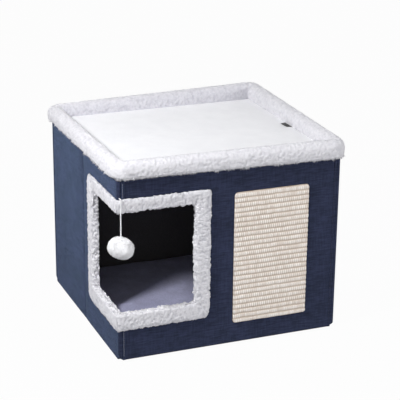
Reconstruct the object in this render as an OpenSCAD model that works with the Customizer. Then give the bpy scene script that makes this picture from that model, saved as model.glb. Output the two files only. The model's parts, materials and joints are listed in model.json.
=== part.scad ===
// Folding cat condo: a fabric-covered cube with an entrance cut through one corner,
// a tray lid with a plush rim, a woven scratch pad and a hanging pom-pom.
// Millimetres. X runs right along the front, Y runs to the back, Z runs up.
// The origin is on the floor under the middle of the walls.

/* [Walls] */
// Outside width of the walls, along the front
wall_width = 420; // [390:1:480]
// Outside depth of the walls
wall_depth = 390; // [350:1:410]
// Height of the walls
wall_height = 334; // [300:1:400]
// Stiff board inside each wall
board_thickness = 5; // [3:0.5:8]
// Outer fabric with its thin foam backing
cover_thickness = 1.5; // [0.5:0.1:2.5]
// Black inner fabric
lining_thickness = 1.5; // [0.5:0.1:2.5]
// Fabric turned over the top edge and the crease edge of a board
hem = 1.2; // [0.5:0.1:2]
// Outside radius of the upright corners
corner_round = 2.5; // [1:0.5:6]
// Radius of the lower end of the upright corners
foot_round = 7; // [2:0.5:8]

/* [Folding] */
// Clearance between a side half and the corner strips it turns against
hinge_gap = 0.4; // [0.2:0.1:1.5]
// Clearance between the two halves of a folding side, at the crease
crease_gap = 1; // [0.4:0.1:4]

/* [Entrance] */
// Reach of the entrance along the front, from the corner to the cut edge
entrance_front = 145; // [110:1:160]
// Reach of the entrance along the left side, from the corner to the cut edge
entrance_side = 131; // [110:1:145]
// Height of the lower cut edge
entrance_bottom = 86.5; // [60:0.5:120]
// Height of the upper cut edge
entrance_top = 278.5; // [240:0.5:290]
// Radius of the two far corners of the cut edge on each wall
entrance_corner = 8; // [5:0.5:20]

/* [Plush trim] */
// Width on the wall beside the entrance
trim_width = 24.5; // [15:0.5:32]
// Width on the wall over the entrance
trim_top = 21; // [12:0.5:28]
// Width on the wall under the entrance
trim_bottom = 27.5; // [15:0.5:36]
// How far the trim stands off the wall
trim_proud = 5.5; // [3:0.5:9]
// How far the trim reaches into the entrance
trim_lip = 2.5; // [2:0.5:8]
// Clearance between the two trims where they meet at the corner
mitre_gap = 0.5; // [0.2:0.1:2]

/* [Scratch pad] */
// Wall between the trim and the pad
pad_gap = 46.5; // [15:0.5:60]
// Width of the pad
pad_width = 143; // [100:1:170]
// Height of the pad
pad_height = 248; // [160:1:260]
// Height of the lower edge of the pad
pad_bottom = 38.5; // [20:0.5:60]
// Thickness of the pad on its board
pad_thickness = 5; // [3:0.5:8]
// Radius of the corners of the pad
pad_corner = 6; // [2:0.5:15]
// Number of woven ribs
pad_ribs = 27; // [15:1:40]
// Clearance of the pad in the window of the cover
pad_clearance = 0.4; // [0.2:0.1:1]

/* [Lid] */
// Overhang of the plush rim beyond the walls
rim_overhang = 10; // [6:0.5:16]
// Width of the plush rim
rim_width = 27; // [18:0.5:30]
// Rise of the rim crest over the lid board
rim_rise = 28; // [18:0.5:40]
// Drop of the rim below the top of the walls
skirt_drop = 2; // [2:0.5:10]
// Outside corner radius of the rim, in plan
rim_corner = 25; // [16:0.5:34]
// Clearance between the lid rim and the walls
lid_clearance = 1; // [0.6:0.1:2]
// Clearance between the lid and the tops of the walls
lid_seat = 0.2; // [0.1:0.1:0.6]
// Stiff board of the lid
lid_board_thickness = 3; // [3:0.5:6]
// Fabric under the lid board
lid_lining_thickness = 0.8; // [0.5:0.1:1.5]
// Foam strip inside the rim
rim_core_width = 8; // [5:0.5:10]

/* [Tray mat] */
// Thickness of the loose mat in the tray
mat_thickness = 2.2; // [1.5:0.1:6]
// Clearance around the mat
mat_clearance = 0.8; // [0.4:0.1:3]
// Width of the pull tab
tab_width = 28; // [8:0.5:40]
// How far the pull tab lies over the mat
tab_reach = 11; // [5:0.5:20]
// Place of the pull tab along the edge, in front of the middle
tab_place = 14; // [-60:1:60]
// Thickness of the pull tab
tab_thickness = 0.8; // [0.5:0.1:1.5]

/* [Floor] */
// Loose base board
base_thickness = 5; // [3:0.5:8]
// Clearance between the base board and the walls
base_clearance = 5; // [3:0.5:12]
// Height of the cushion crown over the base board
cushion_height = 30; // [18:1:45]
// Clearance of the cushion corners inside the walls
cushion_clearance = 5; // [3:0.5:20]
// How far the sides of the cushion draw in between its corners
cushion_draw = 10; // [8:0.5:25]

/* [Toy] */
// Width of the pom-pom
ball_width = 49; // [30:1:60]
// Height of the pom-pom
ball_height = 43; // [28:1:56]
// Thickness of the cord
cord_thickness = 2.4; // [1.5:0.1:4]
// Hang of the pom-pom centre below its knot
toy_hang = 87; // [60:1:110]
// Diameter of the knot that holds the cord
knot_diameter = 5; // [3:0.5:8]
// Place of the cord along the front, from the corner
toy_offset = 3.5; // [3:0.5:20]
// Clearance between the cord and the trim
cord_clearance = 0.6; // [0.3:0.1:2]
// How far under the trim the cord can bend
cord_bend_drop = 6; // [4:0.5:12]

/* [Hidden] */
$fn = 48;
// Whole thickness of a wall
wall_t = board_thickness + cover_thickness + lining_thickness;
// Wall faces
x_out = wall_width / 2;
y_out = wall_depth / 2;
x_in = x_out - wall_t;
y_in = y_out - wall_t;
// Faces of the side boards, and the near and far edges of a side half
board_out = x_out - cover_thickness;
board_in = x_in + lining_thickness;
half_near = crease_gap / 2;
half_far = y_in - hinge_gap;
// Bottom edge of the skins, just off the floor
skin_bottom = 0.6;
// Lower edge of the lid rim
skirt_low = wall_height - skirt_drop;
// How far a cut runs past the faces that it opens
cut_past = 20;
// Wall left between the trim or the pad and the edges of its panel
edge_room = 12;
// Entrance kept inside the walls and clear of the crease
reach_front = min(entrance_front, x_out - trim_width - edge_room);
reach_side = min(entrance_side, y_out - trim_width - edge_room);
open_top = min(entrance_top, skirt_low - trim_top - knot_diameter - edge_room / 2);
open_bottom = max(entrance_bottom, trim_bottom + edge_room);
open_corner = max(entrance_corner, trim_lip + 1);
// How square the outer corners of the trim are over and under the entrance, from 0 round to 1 sharp
trim_square_top = 0.8;
trim_square_bottom = 0.6;
// Scratch pad kept on the front wall
pad_x = -x_out + reach_front + trim_width + pad_gap;
pad_w = min(pad_width, x_in - pad_x - edge_room);
pad_h = min(pad_height, skirt_low - pad_bottom - edge_room);
pad_pitch = pad_h / pad_ribs;
pad_back = 2;
// Lid levels
lid_low = wall_height + lid_seat;
lid_board_low = lid_low + lid_lining_thickness;
lid_board_top = lid_board_low + lid_board_thickness;
rim_top = lid_board_top + rim_rise;
// Plush left over the top of the rim core
core_cover = 8;
// Corner radii of the rim in plan: at its inner face, up its slope, near the crest, on it and round the core
inner_round = 3;
slope_round = 5;
shoulder_round = 9;
crest_round = 13;
core_round = 0.5;
// Rise of the foot of the rim on its outer and inner side, and how far its lowest turns are cut in
foot_rise = 1.6;
foot_turn = 0.6;
foot_step = 0.4;
// How far the widest part of the rim ends below the lid board
belly_drop = 2;
core_top = rim_top - core_cover;
// Rim sections, as distances in from its inner face
rim_in = x_out + rim_overhang - rim_width;
rim_in_y = y_out + rim_overhang - rim_width;
u_wall = rim_width - rim_overhang;
u_skirt = u_wall + lid_clearance;
u_core = u_wall - rim_core_width;
u_foot = rim_width * 0.76;
slot_play = 0.3;
// Inside corner of the skirt, and the outside corner kept clear of it
skirt_corner = corner_round + lid_clearance;
skirt_wall = 1.5;
corner_cut = 1 - sqrt(0.5);
rim_round = min(rim_corner, (rim_width - u_skirt - skirt_wall) / corner_cut + skirt_corner);
// Mat and its tab
mat_x = rim_in - mat_clearance;
mat_y = rim_in_y - mat_clearance;
mat_top = lid_board_top + mat_thickness;
mat_corner = 4;
tab_play = 0.4;
tab_notch = tab_thickness + tab_play;
// Ends of the pull tab's free edge, which is folded a little to the front
tab_near = tab_width * 0.05;
tab_far = -tab_width * 0.44;
// Base board and cushion
base_corner = 10;
cushion_x = x_in - cushion_clearance;
cushion_y = y_in - cushion_clearance;
// Toy
toy_x = -x_out + toy_offset;
toy_y = -y_out - trim_proud - cord_clearance - cord_thickness / 2;
knot_z = open_top + trim_top + knot_diameter / 2 + cord_clearance;
// How far the knot stands out past the cord, and how deep the cord goes into the pom-pom
knot_over = 0.8;
cord_hold = 7;
// Clearance where the cord ends under the knot and at its bend
cord_play = 0.3;
bend_z = open_top - trim_lip - cord_bend_drop;
ball_stretch = ball_width / ball_height;
ball_z = min(knot_z - toy_hang, bend_z - ball_height / 2 - cord_bend_drop);
cord_end = ball_z + ball_height / 2 - cord_hold;

// Colours
navy = [0.16, 0.19, 0.29];
board_tan = [0.68, 0.55, 0.38];
black = [0.08, 0.08, 0.09];
plush = [0.95, 0.95, 0.96];
grey_blue = [0.5, 0.51, 0.6];
sisal = [0.85, 0.78, 0.68];
foam = [0.8, 0.8, 0.78];

// A box between two corners
module box(a, b) {
    translate(a) cube(b - a);
}

// A plate with rounded corners, given half its width and half its depth
module rounded_plate(hx, hy, r, z0, z1) {
    translate([0, 0, z0]) linear_extrude(height = z1 - z0) {
        square([2 * hx, 2 * (hy - r)], center = true);
        square([2 * (hx - r), 2 * hy], center = true);
        for (sx = [-1, 1], sy = [-1, 1]) translate([sx * (hx - r), sy * (hy - r)]) circle(r);
    }
}

// Section of a corner strip, rounded on its outer corner
module strip_section() {
    r = min(corner_round, wall_t - 1);
    square([wall_t, wall_t - r]);
    square([wall_t - r, wall_t]);
    translate([wall_t - r, wall_t - r]) circle(r);
}

// Side view of a corner strip that stands on the floor: across and up, rounded at its lower outer end
module strip_side(height) {
    r = min(foot_round, wall_t - 0.5);
    square([wall_t - r, height]);
    translate([0, r]) square([wall_t, height - r]);
    translate([wall_t - r, r]) circle(r);
}

// Corner strip from a hinge line out to the wall faces, between two heights
module corner_strip(x, y, sx, sy, z0, z1) {
    height = z1 - z0;
    translate([x, y, z0]) mirror([sx > 0 ? 0 : 1, 0, 0]) mirror([0, sy > 0 ? 0 : 1, 0])
        intersection() {
            linear_extrude(height = height) strip_section();
            if (z0 == 0) intersection() {
                translate([0, wall_t, 0]) rotate([90, 0, 0])
                    linear_extrude(height = wall_t) strip_side(height);
                rotate([90, 0, 90])
                    linear_extrude(height = wall_t) strip_side(height);
            }
        }
}

// Outline of the entrance on one wall: a from the corner along the wall, z up
module entrance_outline(reach) {
    translate([-cut_past, open_bottom]) square([cut_past + reach - open_corner, open_top - open_bottom]);
    translate([-cut_past, open_bottom + open_corner])
        square([cut_past + reach, open_top - open_bottom - 2 * open_corner]);
    for (z = [open_bottom + open_corner, open_top - open_corner])
        translate([reach - open_corner, z]) circle(open_corner);
}

// The entrance as a block cut out of the front and left walls
module entrance() {
    depth = wall_t + 2 * cut_past;
    translate([-x_out, -y_in + cut_past, 0]) rotate([90, 0, 0])
        linear_extrude(height = depth) entrance_outline(reach_front);
    translate([-x_out - cut_past, -y_out, 0]) rotate([90, 0, 90])
        linear_extrude(height = depth) entrance_outline(reach_side);
}

// Cover of a wall that runs along X: sy is 1 at the back and -1 at the front
module long_cover(sy) {
    y0 = sy * y_out;
    y1 = sy * (y_out - cover_thickness);
    y2 = sy * (y_in + lining_thickness);
    box([-x_in, min(y0, y1), skin_bottom], [x_in, max(y0, y1), wall_height]);
    box([-x_in, min(y1, y2), wall_height - hem], [x_in, max(y1, y2), wall_height]);
}

module long_board(sy) {
    y1 = sy * (y_out - cover_thickness);
    y2 = sy * (y_in + lining_thickness);
    box([-x_in, min(y1, y2), 0], [x_in, max(y1, y2), wall_height - hem]);
}

module long_lining(sy) {
    y2 = sy * (y_in + lining_thickness);
    y3 = sy * y_in;
    box([-x_in, min(y2, y3), skin_bottom], [x_in, max(y2, y3), wall_height]);
}

// Layers of a side half, drawn at the right rear and mirrored by the nodes
module half_cover() {
    box([board_out, half_near, skin_bottom], [x_out, half_far, wall_height]);
    box([board_in, half_near, wall_height - hem], [board_out, half_far, wall_height]);
    box([board_in, half_near, skin_bottom], [board_out, half_near + hem, wall_height - hem]);
}

module half_board() {
    box([board_in, half_near + hem, 0], [board_out, half_far, wall_height - hem]);
}

module half_lining() {
    box([x_in, half_near, skin_bottom], [board_in, half_far, wall_height]);
}

// Section of the plush trim: k from -1 at the lip to 1 at the outer edge, v off the wall face
function trim_section() = [
    [0, -wall_t], [-0.7, -wall_t], [-1, -wall_t * 0.7], [-1, trim_proud * 0.2],
    [-0.75, trim_proud * 0.62], [-0.2, trim_proud * 0.92], [0.12, trim_proud], [0.7, trim_proud],
    [0.9, trim_proud * 0.82], [1, trim_proud * 0.45], [1, trim_proud * 0.1], [0.97, 0], [0, 0]];

// Distance of a trim point from the cut edge, with w the width of the trim on the wall
function trim_n(k, w) = k > 0 ? k * w : k * trim_lip;

// A trim point at the mitred end on the corner: s is 1 over the entrance and -1 under it
function trim_end(p, s, edge, w) = [mitre_gap * 0.7071 - p[1], p[1], edge + s * trim_n(p[0], w)];

// A trim point at angle f round a far corner of the entrance, squarer towards the outer edge
function trim_turn(p, s, reach, edge, w, f) =
    let (square = s > 0 ? trim_square_top : trim_square_bottom, e = p[0] > 0 ? 1 - square * p[0] : 1)
    [reach - open_corner + (open_corner + trim_n(p[0], trim_width)) * pow(cos(f), e), p[1],
     edge - s * open_corner + s * (open_corner + trim_n(p[0], w)) * pow(sin(f), e)];

// A trim on three sides of the entrance: a from the corner along the wall, v off the wall, z up
module trim_strip(reach) {
    s = trim_section();
    n = len(s);
    turn = [for (i = [0 : 4]) 22.5 * i];
    rings = concat(
        [[for (p = s) trim_end(p, 1, open_top, trim_top)]],
        [for (i = [4 : -1 : 0]) [for (p = s) trim_turn(p, 1, reach, open_top, trim_top, turn[i])]],
        [for (i = [0 : 4]) [for (p = s) trim_turn(p, -1, reach, open_bottom, trim_bottom, turn[i])]],
        [[for (p = s) trim_end(p, -1, open_bottom, trim_bottom)]]);
    m = len(rings);
    polyhedron(points = [for (r = rings, p = r) p], convexity = 6, faces = concat(
        [[for (i = [0 : n - 1]) i]],
        [for (k = [0 : m - 2], i = [0 : n - 1]) [k * n + i, (k + 1) * n + i, k * n + (i + 1) % n]],
        [for (k = [0 : m - 2], i = [0 : n - 1]) let (next = (i + 1) % n)
            [k * n + next, (k + 1) * n + i, (k + 1) * n + next]],
        [[for (i = [n - 1 : -1 : 0]) (m - 1) * n + i]]));
}

// Outline of a rectangle with rounded corners, as points
function rounded_outline(hx, hy, r, steps) = [for (c = [0 : 3], i = [0 : steps])
    let (sx = (c == 0 || c == 3) ? 1 : -1, sy = c < 2 ? 1 : -1, a = 90 * c + 90 * i / steps)
    [sx * (hx - r) + r * cos(a), sy * (hy - r) + r * sin(a)]];

// Section of the rim: u out from its inner face, height, corner radius in plan
function rim_section() = [
    [0, lid_board_top, inner_round], [0, lid_board_top + rim_rise * 0.55, inner_round],
    [rim_width * 0.1, lid_board_top + rim_rise * 0.8, slope_round],
    [rim_width * 0.28, rim_top - rim_rise * 0.05, shoulder_round], [rim_width * 0.48, rim_top, crest_round],
    [rim_width * 0.7, rim_top - rim_rise * 0.06, rim_round * 0.72],
    [rim_width * 0.89, rim_top - rim_rise * 0.24, rim_round * 0.9],
    [rim_width * 0.98, rim_top - rim_rise * 0.48, rim_round],
    [rim_width, rim_top - rim_rise * 0.74, rim_round],
    [rim_width * 0.98, lid_board_top - belly_drop, rim_round],
    [rim_width * 0.9, skirt_low + foot_rise, rim_round * 0.75],
    [u_foot, skirt_low, skirt_corner + u_foot - u_skirt],
    [u_skirt + foot_step, skirt_low + foot_turn, skirt_corner + foot_step],
    [u_skirt, skirt_low + foot_rise, skirt_corner],
    [u_skirt, lid_board_top - foot_turn, skirt_corner],
    [u_wall + slot_play, lid_board_top, wall_t + slot_play],
    [u_wall + slot_play, core_top + slot_play, core_round],
    [u_core - slot_play, core_top + slot_play, core_round],
    [u_core - slot_play, lid_board_top, core_round]];

// Cushion outline: corners at the full size, sides drawn in between them
function cushion_outline(steps) = [for (c = [0 : 3], i = [0 : steps - 1])
    let (t = -1 + 2 * i / steps, d = cushion_draw * (1 - t * t), q = 1 - 0.025 * pow(abs(t), 8))
    c == 0 ? [(cushion_x - d) * q, t * cushion_y * q] :
    c == 1 ? [-t * cushion_x * q, (cushion_y - d) * q] :
    c == 2 ? [(-cushion_x + d) * q, -t * cushion_y * q] :
             [t * cushion_x * q, (-cushion_y + d) * q]];

// Rings of the cushion from its flat underside over the seam to the crown: scale and height
function cushion_rings() = [[0.9, 0], [0.96, 0.06], [0.988, 0.2], [1, 0.36], [0.99, 0.52], [0.955, 0.68],
    [0.89, 0.81], [0.78, 0.9], [0.6, 0.96], [0.38, 0.99]];

module base_board() {
    color(board_tan)
        rounded_plate(x_in - base_clearance, y_in - base_clearance, base_corner, 0, base_thickness);
}

module floor_cushion() {
    o = cushion_outline(10);
    g = cushion_rings();
    n = len(o);
    m = len(g);
    pts = concat(
        [for (r = g, p = o) [p[0] * r[0], p[1] * r[0], base_thickness + cushion_height * r[1]]],
        [[0, 0, base_thickness], [0, 0, base_thickness + cushion_height]]);
    color(grey_blue) polyhedron(points = pts, convexity = 4, faces = concat(
        [for (i = [0 : n - 1]) [m * n, i, (i + 1) % n]],
        [for (k = [0 : m - 2], i = [0 : n - 1]) [k * n + i, (k + 1) * n + i, k * n + (i + 1) % n]],
        [for (k = [0 : m - 2], i = [0 : n - 1]) let (next = (i + 1) % n)
            [k * n + next, (k + 1) * n + i, (k + 1) * n + next]],
        [for (i = [0 : n - 1]) [m * n + 1, (m - 1) * n + (i + 1) % n, (m - 1) * n + i]]));
}

module back_board() { color(board_tan) long_board(1); }
module back_cover() { color(navy) long_cover(1); }
module back_lining() { color(black) long_lining(1); }
module back_left_corner() { color(navy) corner_strip(-x_in, y_in, -1, 1, 0, wall_height); }
module back_right_corner() { color(navy) corner_strip(x_in, y_in, 1, 1, 0, wall_height); }

module left_rear_board() { color(board_tan) mirror([1, 0, 0]) half_board(); }
module left_rear_cover() { color(navy) mirror([1, 0, 0]) half_cover(); }
module left_rear_lining() { color(black) mirror([1, 0, 0]) half_lining(); }

module left_front_board() {
    color(board_tan) difference() { mirror([1, 0, 0]) mirror([0, 1, 0]) half_board(); entrance(); }
}
module left_front_cover() {
    color(navy) difference() { mirror([1, 0, 0]) mirror([0, 1, 0]) half_cover(); entrance(); }
}
module left_front_lining() {
    color(black) difference() { mirror([1, 0, 0]) mirror([0, 1, 0]) half_lining(); entrance(); }
}
module side_trim() {
    color(plush) multmatrix([[0, -1, 0, -x_out], [1, 0, 0, -y_out], [0, 0, 1, 0]]) trim_strip(reach_side);
}

module front_board() {
    color(board_tan) difference() { long_board(-1); entrance(); }
}
module front_cover() {
    color(navy) difference() {
        long_cover(-1);
        entrance();
        pad_block(pad_clearance, -y_out + cover_thickness);
    }
}
module front_lining() {
    color(black) difference() { long_lining(-1); entrance(); }
}
module front_left_corner() {
    color(navy) {
        corner_strip(-x_in, -y_in, -1, -1, 0, open_bottom);
        corner_strip(-x_in, -y_in, -1, -1, open_top, wall_height);
    }
}
module front_right_corner() { color(navy) corner_strip(x_in, -y_in, 1, -1, 0, wall_height); }
module front_trim() {
    color(plush) multmatrix([[1, 0, 0, -x_out], [0, -1, 0, -y_out], [0, 0, 1, 0]]) trim_strip(reach_front);
}

// Block with the rounded outline of the pad, grown by a clearance, from a face forwards
module pad_block(grow, face) {
    translate([pad_x + pad_w / 2, face, pad_bottom + pad_h / 2]) rotate([90, 0, 0])
        rounded_plate(pad_w / 2 + grow, pad_h / 2 + grow, pad_corner + grow, 0, cut_past);
}

// Woven pad on the front board: a flat back with one round rib for each row
module scratch_pad() {
    face = -y_out + cover_thickness;
    rib = pad_pitch * 0.52;
    color(sisal) intersection() {
        translate([pad_x, 0, 0]) rotate([90, 0, 90]) linear_extrude(height = pad_w) {
            translate([face - pad_back, pad_bottom]) square([pad_back, pad_h]);
            intersection() {
                translate([face - pad_thickness, pad_bottom]) square([pad_thickness, pad_h]);
                for (i = [0 : pad_ribs - 1])
                    translate([face - pad_thickness + rib, pad_bottom + pad_pitch * (i + 0.5)])
                        circle(rib, $fn = 24);
            }
        }
        pad_block(0, face);
    }
}

// Knot sewn to the wall over the trim, its axis along Y
module toy_knot() {
    color(plush) translate([toy_x, -y_out, knot_z]) rotate([90, 0, 0])
        cylinder(d = knot_diameter, h = -y_out - toy_y + cord_thickness / 2 + knot_over);
}

module right_rear_board() { color(board_tan) half_board(); }
module right_rear_cover() { color(navy) half_cover(); }
module right_rear_lining() { color(black) half_lining(); }
module right_front_board() { color(board_tan) mirror([0, 1, 0]) half_board(); }
module right_front_cover() { color(navy) mirror([0, 1, 0]) half_cover(); }
module right_front_lining() { color(black) mirror([0, 1, 0]) half_lining(); }

module lid_board() { color(board_tan) rounded_plate(x_out, y_out, wall_t, lid_board_low, lid_board_top); }
module lid_lining() { color(black) rounded_plate(x_out, y_out, wall_t, lid_low, lid_board_low); }
module rim_core_front() { mirror([0, 1, 0]) rim_core_back(); }
module rim_core_back() {
    color(foam) box([-x_in, y_out - rim_core_width, lid_board_top], [x_in, y_out, core_top]);
}
module rim_core_left() { mirror([1, 0, 0]) rim_core_right(); }
module rim_core_right() {
    reach = y_out - max(rim_core_width, wall_t);
    color(foam) box([x_out - rim_core_width, -reach, lid_board_top], [x_out, reach, core_top]);
}
module rim_plush() {
    s = rim_section();
    steps = 6;
    m = len(s);
    n = 4 * (steps + 1);
    pts = [for (p = s, q = rounded_outline(rim_in + p[0], rim_in_y + p[0], p[2], steps)) [q[0], q[1], p[1]]];
    color(plush) polyhedron(points = pts, convexity = 8, faces = concat(
        [for (k = [0 : m - 1], i = [0 : n - 1]) let (up = (k + 1) % m)
            [k * n + i, k * n + (i + 1) % n, up * n + i]],
        [for (k = [0 : m - 1], i = [0 : n - 1]) let (next = (i + 1) % n, up = (k + 1) % m)
            [k * n + next, up * n + next, up * n + i]]));
}
module tray_mat() {
    color(plush) difference() {
        rounded_plate(mat_x, mat_y, mat_corner, lid_board_top, mat_top);
        translate([mat_x - tab_notch, -tab_place, lid_board_top - cut_past])
            box([0, -tab_width / 2 - tab_play, 0], [cut_past, tab_width / 2 + tab_play, 2 * cut_past]);
    }
}
// Ribbon that comes up at the edge of the mat and lies over it
module pull_tab() {
    half = tab_width / 2;
    color(black) translate([mat_x - tab_notch, -tab_place, 0]) {
        box([0, -half, lid_board_top], [tab_thickness, half, mat_top + tab_thickness]);
        translate([0, 0, mat_top]) linear_extrude(height = tab_thickness)
            polygon([[tab_thickness, -half], [tab_thickness, half], [-tab_reach, tab_near],
                [-tab_reach * 0.7, tab_far]]);
    }
}

module toy_cord_upper() {
    low = bend_z + (cord_thickness + cord_play) / 2;
    color(plush) translate([toy_x, toy_y, low])
        cylinder(d = cord_thickness, h = knot_z - knot_diameter / 2 - cord_play - low);
}
module toy_cord_lower() {
    color(plush) {
        translate([toy_x, toy_y, bend_z]) sphere(d = cord_thickness);
        translate([toy_x, toy_y, cord_end]) cylinder(d = cord_thickness, h = bend_z - cord_end);
    }
}
module pompom() {
    color(plush) difference() {
        translate([toy_x, toy_y, ball_z]) scale([ball_stretch, ball_stretch, 1]) sphere(d = ball_height);
        translate([toy_x, toy_y, cord_end]) cylinder(d = cord_thickness, h = ball_height);
    }
}

base_board();
floor_cushion();
back_board();
back_cover();
back_lining();
back_left_corner();
back_right_corner();
left_rear_board();
left_rear_cover();
left_rear_lining();
left_front_board();
left_front_cover();
left_front_lining();
side_trim();
front_board();
front_cover();
front_lining();
front_left_corner();
front_right_corner();
front_trim();
scratch_pad();
toy_knot();
right_rear_board();
right_rear_cover();
right_rear_lining();
right_front_board();
right_front_cover();
right_front_lining();
lid_board();
lid_lining();
rim_core_front();
rim_core_back();
rim_core_left();
rim_core_right();
rim_plush();
tray_mat();
pull_tab();
toy_cord_upper();
toy_cord_lower();
pompom();
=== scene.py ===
"""Looks of a folding cat condo: linen walls, fleece trims, a tray lid, a woven pad and a hanging pom-pom.

Metres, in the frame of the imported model: +X right along the front, +Y to the back, +Z up.
"""

import json
import math

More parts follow.
